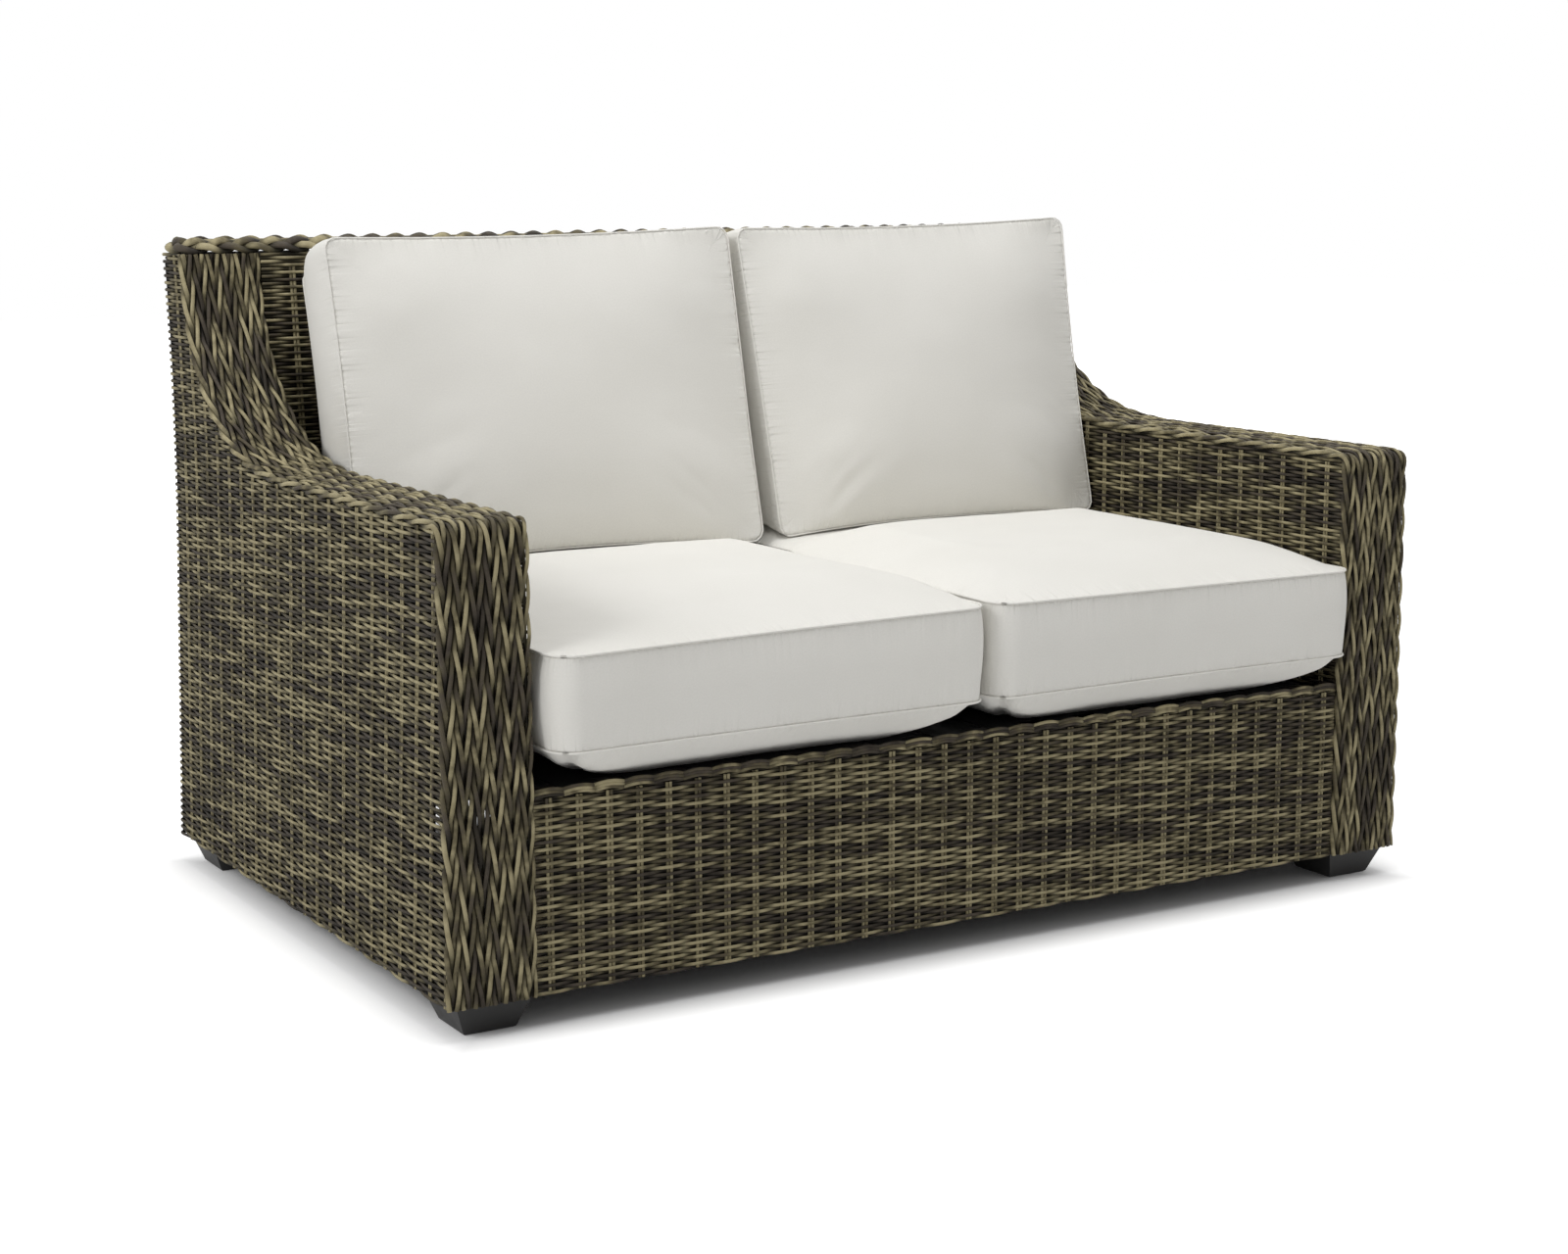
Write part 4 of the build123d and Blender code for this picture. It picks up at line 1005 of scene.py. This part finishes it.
# from the cushion's own frame to its place on the seat
def placeCushion(kind, side, places):
    shape, own = cushions[kind], cushions[kind][side]
    start = np.array((own["middle"], *shape["start"]))
    share = places[:, 0] / (2 * own["halfWidth"]) + 0.5
    face = np.clip(1 + places[:, 2] / shape["boxing"], 0, 1)  # 0 at the rear seam or below, 1 at the face
    if kind == "seat":
        low, high = own["tilt"]
        points = places + start
        points[:, 2] += (low * (1 - share) ** 2 + high * share ** 2) * face
        points[:, 0] += narrowing(kind, side, points) * (1 - share) ** 4
        return points
    lean = math.radians(shape["lean"])
    up, out = np.array((0, math.sin(lean), math.cos(lean))), np.array((0, -math.cos(lean), math.sin(lean)))
    raised = places[:, 1] + shape["halfDepth"]
    points = start + places[:, :1] * np.array((1.0, 0, 0)) + raised[:, None] * up + places[:, 2:3] * out
    low, high = own["lift"]
    points[:, 2] += (low + (high - low) * share) * (raised / (2 * shape["halfDepth"])) ** 2
    # its sides slant outward towards the bottom, and the lower front leads and sinks onto the seat cushion
    fall = np.clip(1 - raised / (2 * shape["halfDepth"]), 0, 1)
    low, high = own["slant"]
    base, extra = placing["slantShares"]
    swing = base + extra * np.sin(np.minimum(fall * placing["slantReach"], 1) * math.pi / 2)
    points[:, 0] += low * (1 - share) ** 3 * fall ** placing["slantPower"] + high * share ** 3 * swing
    points[:, 1] -= placing["lead"] * fall ** 2 * face
    base, extra = placing["sinkShares"]
    sink = np.clip(1 - raised / placing["sinkOver"], 0, 1) ** 2
    sink *= base + extra * np.clip(places[:, 2] / placing["sinkFrontOver"], -1, 1)
    points[:, 2] -= sink * (shape["start"][1] + placing["sinkPast"] - restHeight(points))
    return points


# the cushion lies flat on what carries it and stays clear of what it touches
def settle(kind, side, places):
    sign = -1 if side == "Left" else 1
    inner = cushions[kind][side]["gap"] + narrowing(kind, side, places)
    places[:, 0] = sign * np.clip(sign * places[:, 0], inner, rest["side"])
    limit = np.minimum(np.array([backFace(z) for z in places[:, 2]]) - rest["backGap"], rest["rear"])
    places[:, 1] = np.minimum(places[:, 1], limit)
    if kind == "seat":
        places[:, 2] = np.maximum(places[:, 2], rest["deck"])
        ahead = np.clip(rest["openFrom"] - places[:, 1], 0, None)
        places[:, 2] = np.minimum(places[:, 2], restHeight(places) - rest["apart"] + rest["openSlope"] * ahead)
    else:
        places[:, 2] = np.maximum(places[:, 2], restHeight(places) + rest["apart"])
    return places


zips = {"x": (0.069, 0.539), "margin": 0.003,  # then each one's reach, where its slot lies and how deep
        "seat": {"reach": (0.373, 0.403), "beyond": 0.30, "depth": 0.3212},
        "back": {"reach": (0.162, 0.192), "below": 0.50, "depth": 0.4835}}


# the slot that the zip lies in
def sinkZip(kind, side, places):
    slot, margin = zips[kind], zips["margin"]
    x = places[:, 0] * (-1 if side == "Left" else 1)
    along = places[:, 2 if kind == "seat" else 1]
    inside = (x > zips["x"][0] - margin) & (x < zips["x"][1] + margin)
    inside &= (along > slot["reach"][0] - margin) & (along < slot["reach"][1] + margin)
    if kind == "seat":
        inside &= places[:, 1] > slot["beyond"]
        places[inside, 1] = np.minimum(places[inside, 1], slot["depth"])
    else:
        inside &= places[:, 2] < slot["below"]
        places[inside, 2] = np.maximum(places[inside, 2], slot["depth"])
    return places


# waves of the cover: broad unevenness everywhere and puckers beside the seams
def ruffle(kind, side, mesh, sewn):
    places, normals = vertexArray(mesh), vertexArray(mesh, "normal")
    seam = KDTree(len(sewn))
    for number, point in enumerate(sewn):
        seam.insert(point, number)
    seam.balance()
    each = len(sewn) // 2
    radius = each * cushions["cell"] / (2 * math.pi)
    seed = cushions[kind][side]["seed"]
    run, near, lift = np.zeros((len(places), 3)), np.zeros(len(places)), np.zeros(len(places))
    for number, point in enumerate(places):
        _, at, gap = seam.find(point)
        swing = 2 * math.pi * (at % each) / each
        run[number] = radius * math.cos(swing), radius * math.sin(swing), at // each + seed
        near[number] = math.exp(-gap / cushions["puckerReach"])
        broad = noise.noise(Vector(point) * cushions["broadScale"] + Vector((seed, 0, 0)))
        small = noise.noise(Vector(point) * cushions["smallScale"] + Vector((0, seed, 0)))
        wave = (broad + cushions["smallShare"] * small) * min(1.0, gap / cushions["evenNear"])
        pucker = noise.noise(Vector(run[number]) * cushions["puckerScale"]) * near[number]
        pucker *= min(1.0, gap / cushions["puckerFrom"])
        lift[number] = cushions["unevenness"] * wave + cushions["pucker"] * pucker
    setVertices(mesh, places + normals * lift[:, None])
    pointLayer(mesh, "seamRun", run)
    pointLayer(mesh, "seamNear", near)


def addWelt(kind, side, number, loop):
    points = np.vstack((loop, loop[:2]))
    ahead = np.roll(loop, -1, 0) - np.roll(loop, 1, 0)
    ahead = np.vstack((ahead, ahead[:2]))
    ahead /= np.linalg.norm(ahead, axis=1)[:, None]
    outs = points - loop.mean(0)
    outs -= ahead * (outs * ahead).sum(1)[:, None]
    outs /= np.linalg.norm(outs, axis=1)[:, None]
    size = cushions["weltWidth"][kind]
    sizes = {"Strand Width": size, "Strand Thickness": size, "Sides": 6, "Jitter": 0.0}
    strand = (points + outs * cushions["weltProud"], np.full(len(points), 0.5), outs, np.cross(ahead, outs))
    body = kind + "_cushion_" + side.lower()
    strandPiece(kind + "Welt" + side + number, [strand], sizes, (), body, fabric)


def buildCushion(kind, side):
    tail = "_" + side.lower()
    mesh, upper, lower = cushionMesh(kind, side, cushions["fullness"])
    piece = newObject(kind + "Cushion" + side, mesh)
    stuff(piece, kind, np.concatenate((upper, lower)))
    setVertices(mesh, settle(kind, side, placeCushion(kind, side, vertexArray(mesh))))
    loops = [vertexArray(mesh)[ring] for ring in (upper, lower)]
    rounder = piece.modifiers.new("rounder", "SUBSURF")
    rounder.levels = rounder.render_levels = 1
    rounded = plainMesh(piece)
    piece.modifiers.clear()
    piece.data = rounded
    bpy.data.meshes.remove(mesh)
    ruffle(kind, side, rounded, np.vstack(loops))
    setVertices(rounded, sinkZip(kind, side, settle(kind, side, vertexArray(rounded))))
    rounded.materials.append(fabric)
    rounded.polygons.foreach_set("use_smooth", [True] * len(rounded.polygons))
    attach(piece, kind + "_cushion" + tail)
    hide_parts(kind + "_cover" + tail, kind + "_core" + tail)
    for number, loop in zip(("Front", "Rear"), loops):
        addWelt(kind, side, number, loop)
    places = vertexArray(rounded)
    print(piece.name, len(rounded.polygons), "faces", places.min(0).round(4), places.max(0).round(4))


for side in ("Left", "Right"):
    for kind in ("seat", "back"):
        buildCushion(kind, side)

# for each CAD slot: material, two colours, roughness from and to, metallic and the noise's scale
finishes = {
    "frame_tube": ("powderCoat", (0.045, 0.036, 0.028), (0.07, 0.056, 0.044), (0.4, 0.6), 0.0, 700.0),
    "foot_black": ("footBlack", (0.012, 0.012, 0.012), (0.022, 0.021, 0.020), (0.3, 0.5), 0.0, 90.0),
    "webbing": ("deckWebbing", (0.010, 0.010, 0.010), (0.020, 0.020, 0.020), (0.7, 0.9), 0.0, 500.0),
    "fixings": ("fixings", (0.35, 0.35, 0.34), (0.45, 0.45, 0.44), (0.25, 0.45), 1.0, 200.0),
    "zip_tape": ("zipTape", (0.70, 0.68, 0.63), (0.78, 0.76, 0.71), (0.7, 0.9), 0.0, 900.0),
    "zip_slider": ("zipSlider", (0.45, 0.45, 0.44), (0.55, 0.55, 0.54), (0.25, 0.4), 1.0, 150.0),
}


def plainFinish(name, first, second, roughness, metallic, scale):
    material, add, _ = newMaterial(name)
    grain = add("TexNoise", {"Vector": add("TexCoord").outputs["Object"], "Scale": scale, "Detail": 4.0})
    colour = add("Mix", {"Factor": grain, "A": (*first, 1), "B": (*second, 1)}, data_type="RGBA")
    bump = add("Bump", {"Height": grain, "Strength": 0.3, "Distance": 0.0003})
    addShader(add, {"Base Color": colour, "Roughness": spreadTo(add, grain, roughness), "Metallic": metallic,
                    "Normal": bump})
    return material


finished = {slot: plainFinish(*look) for slot, look in finishes.items()}
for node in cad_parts.values():
    for slot in node.material_slots:
        if slot.material and slot.material.name in finished:
            slot.material = finished[slot.material.name]
print("finishes set")

scene.view_settings.view_transform = "Standard"
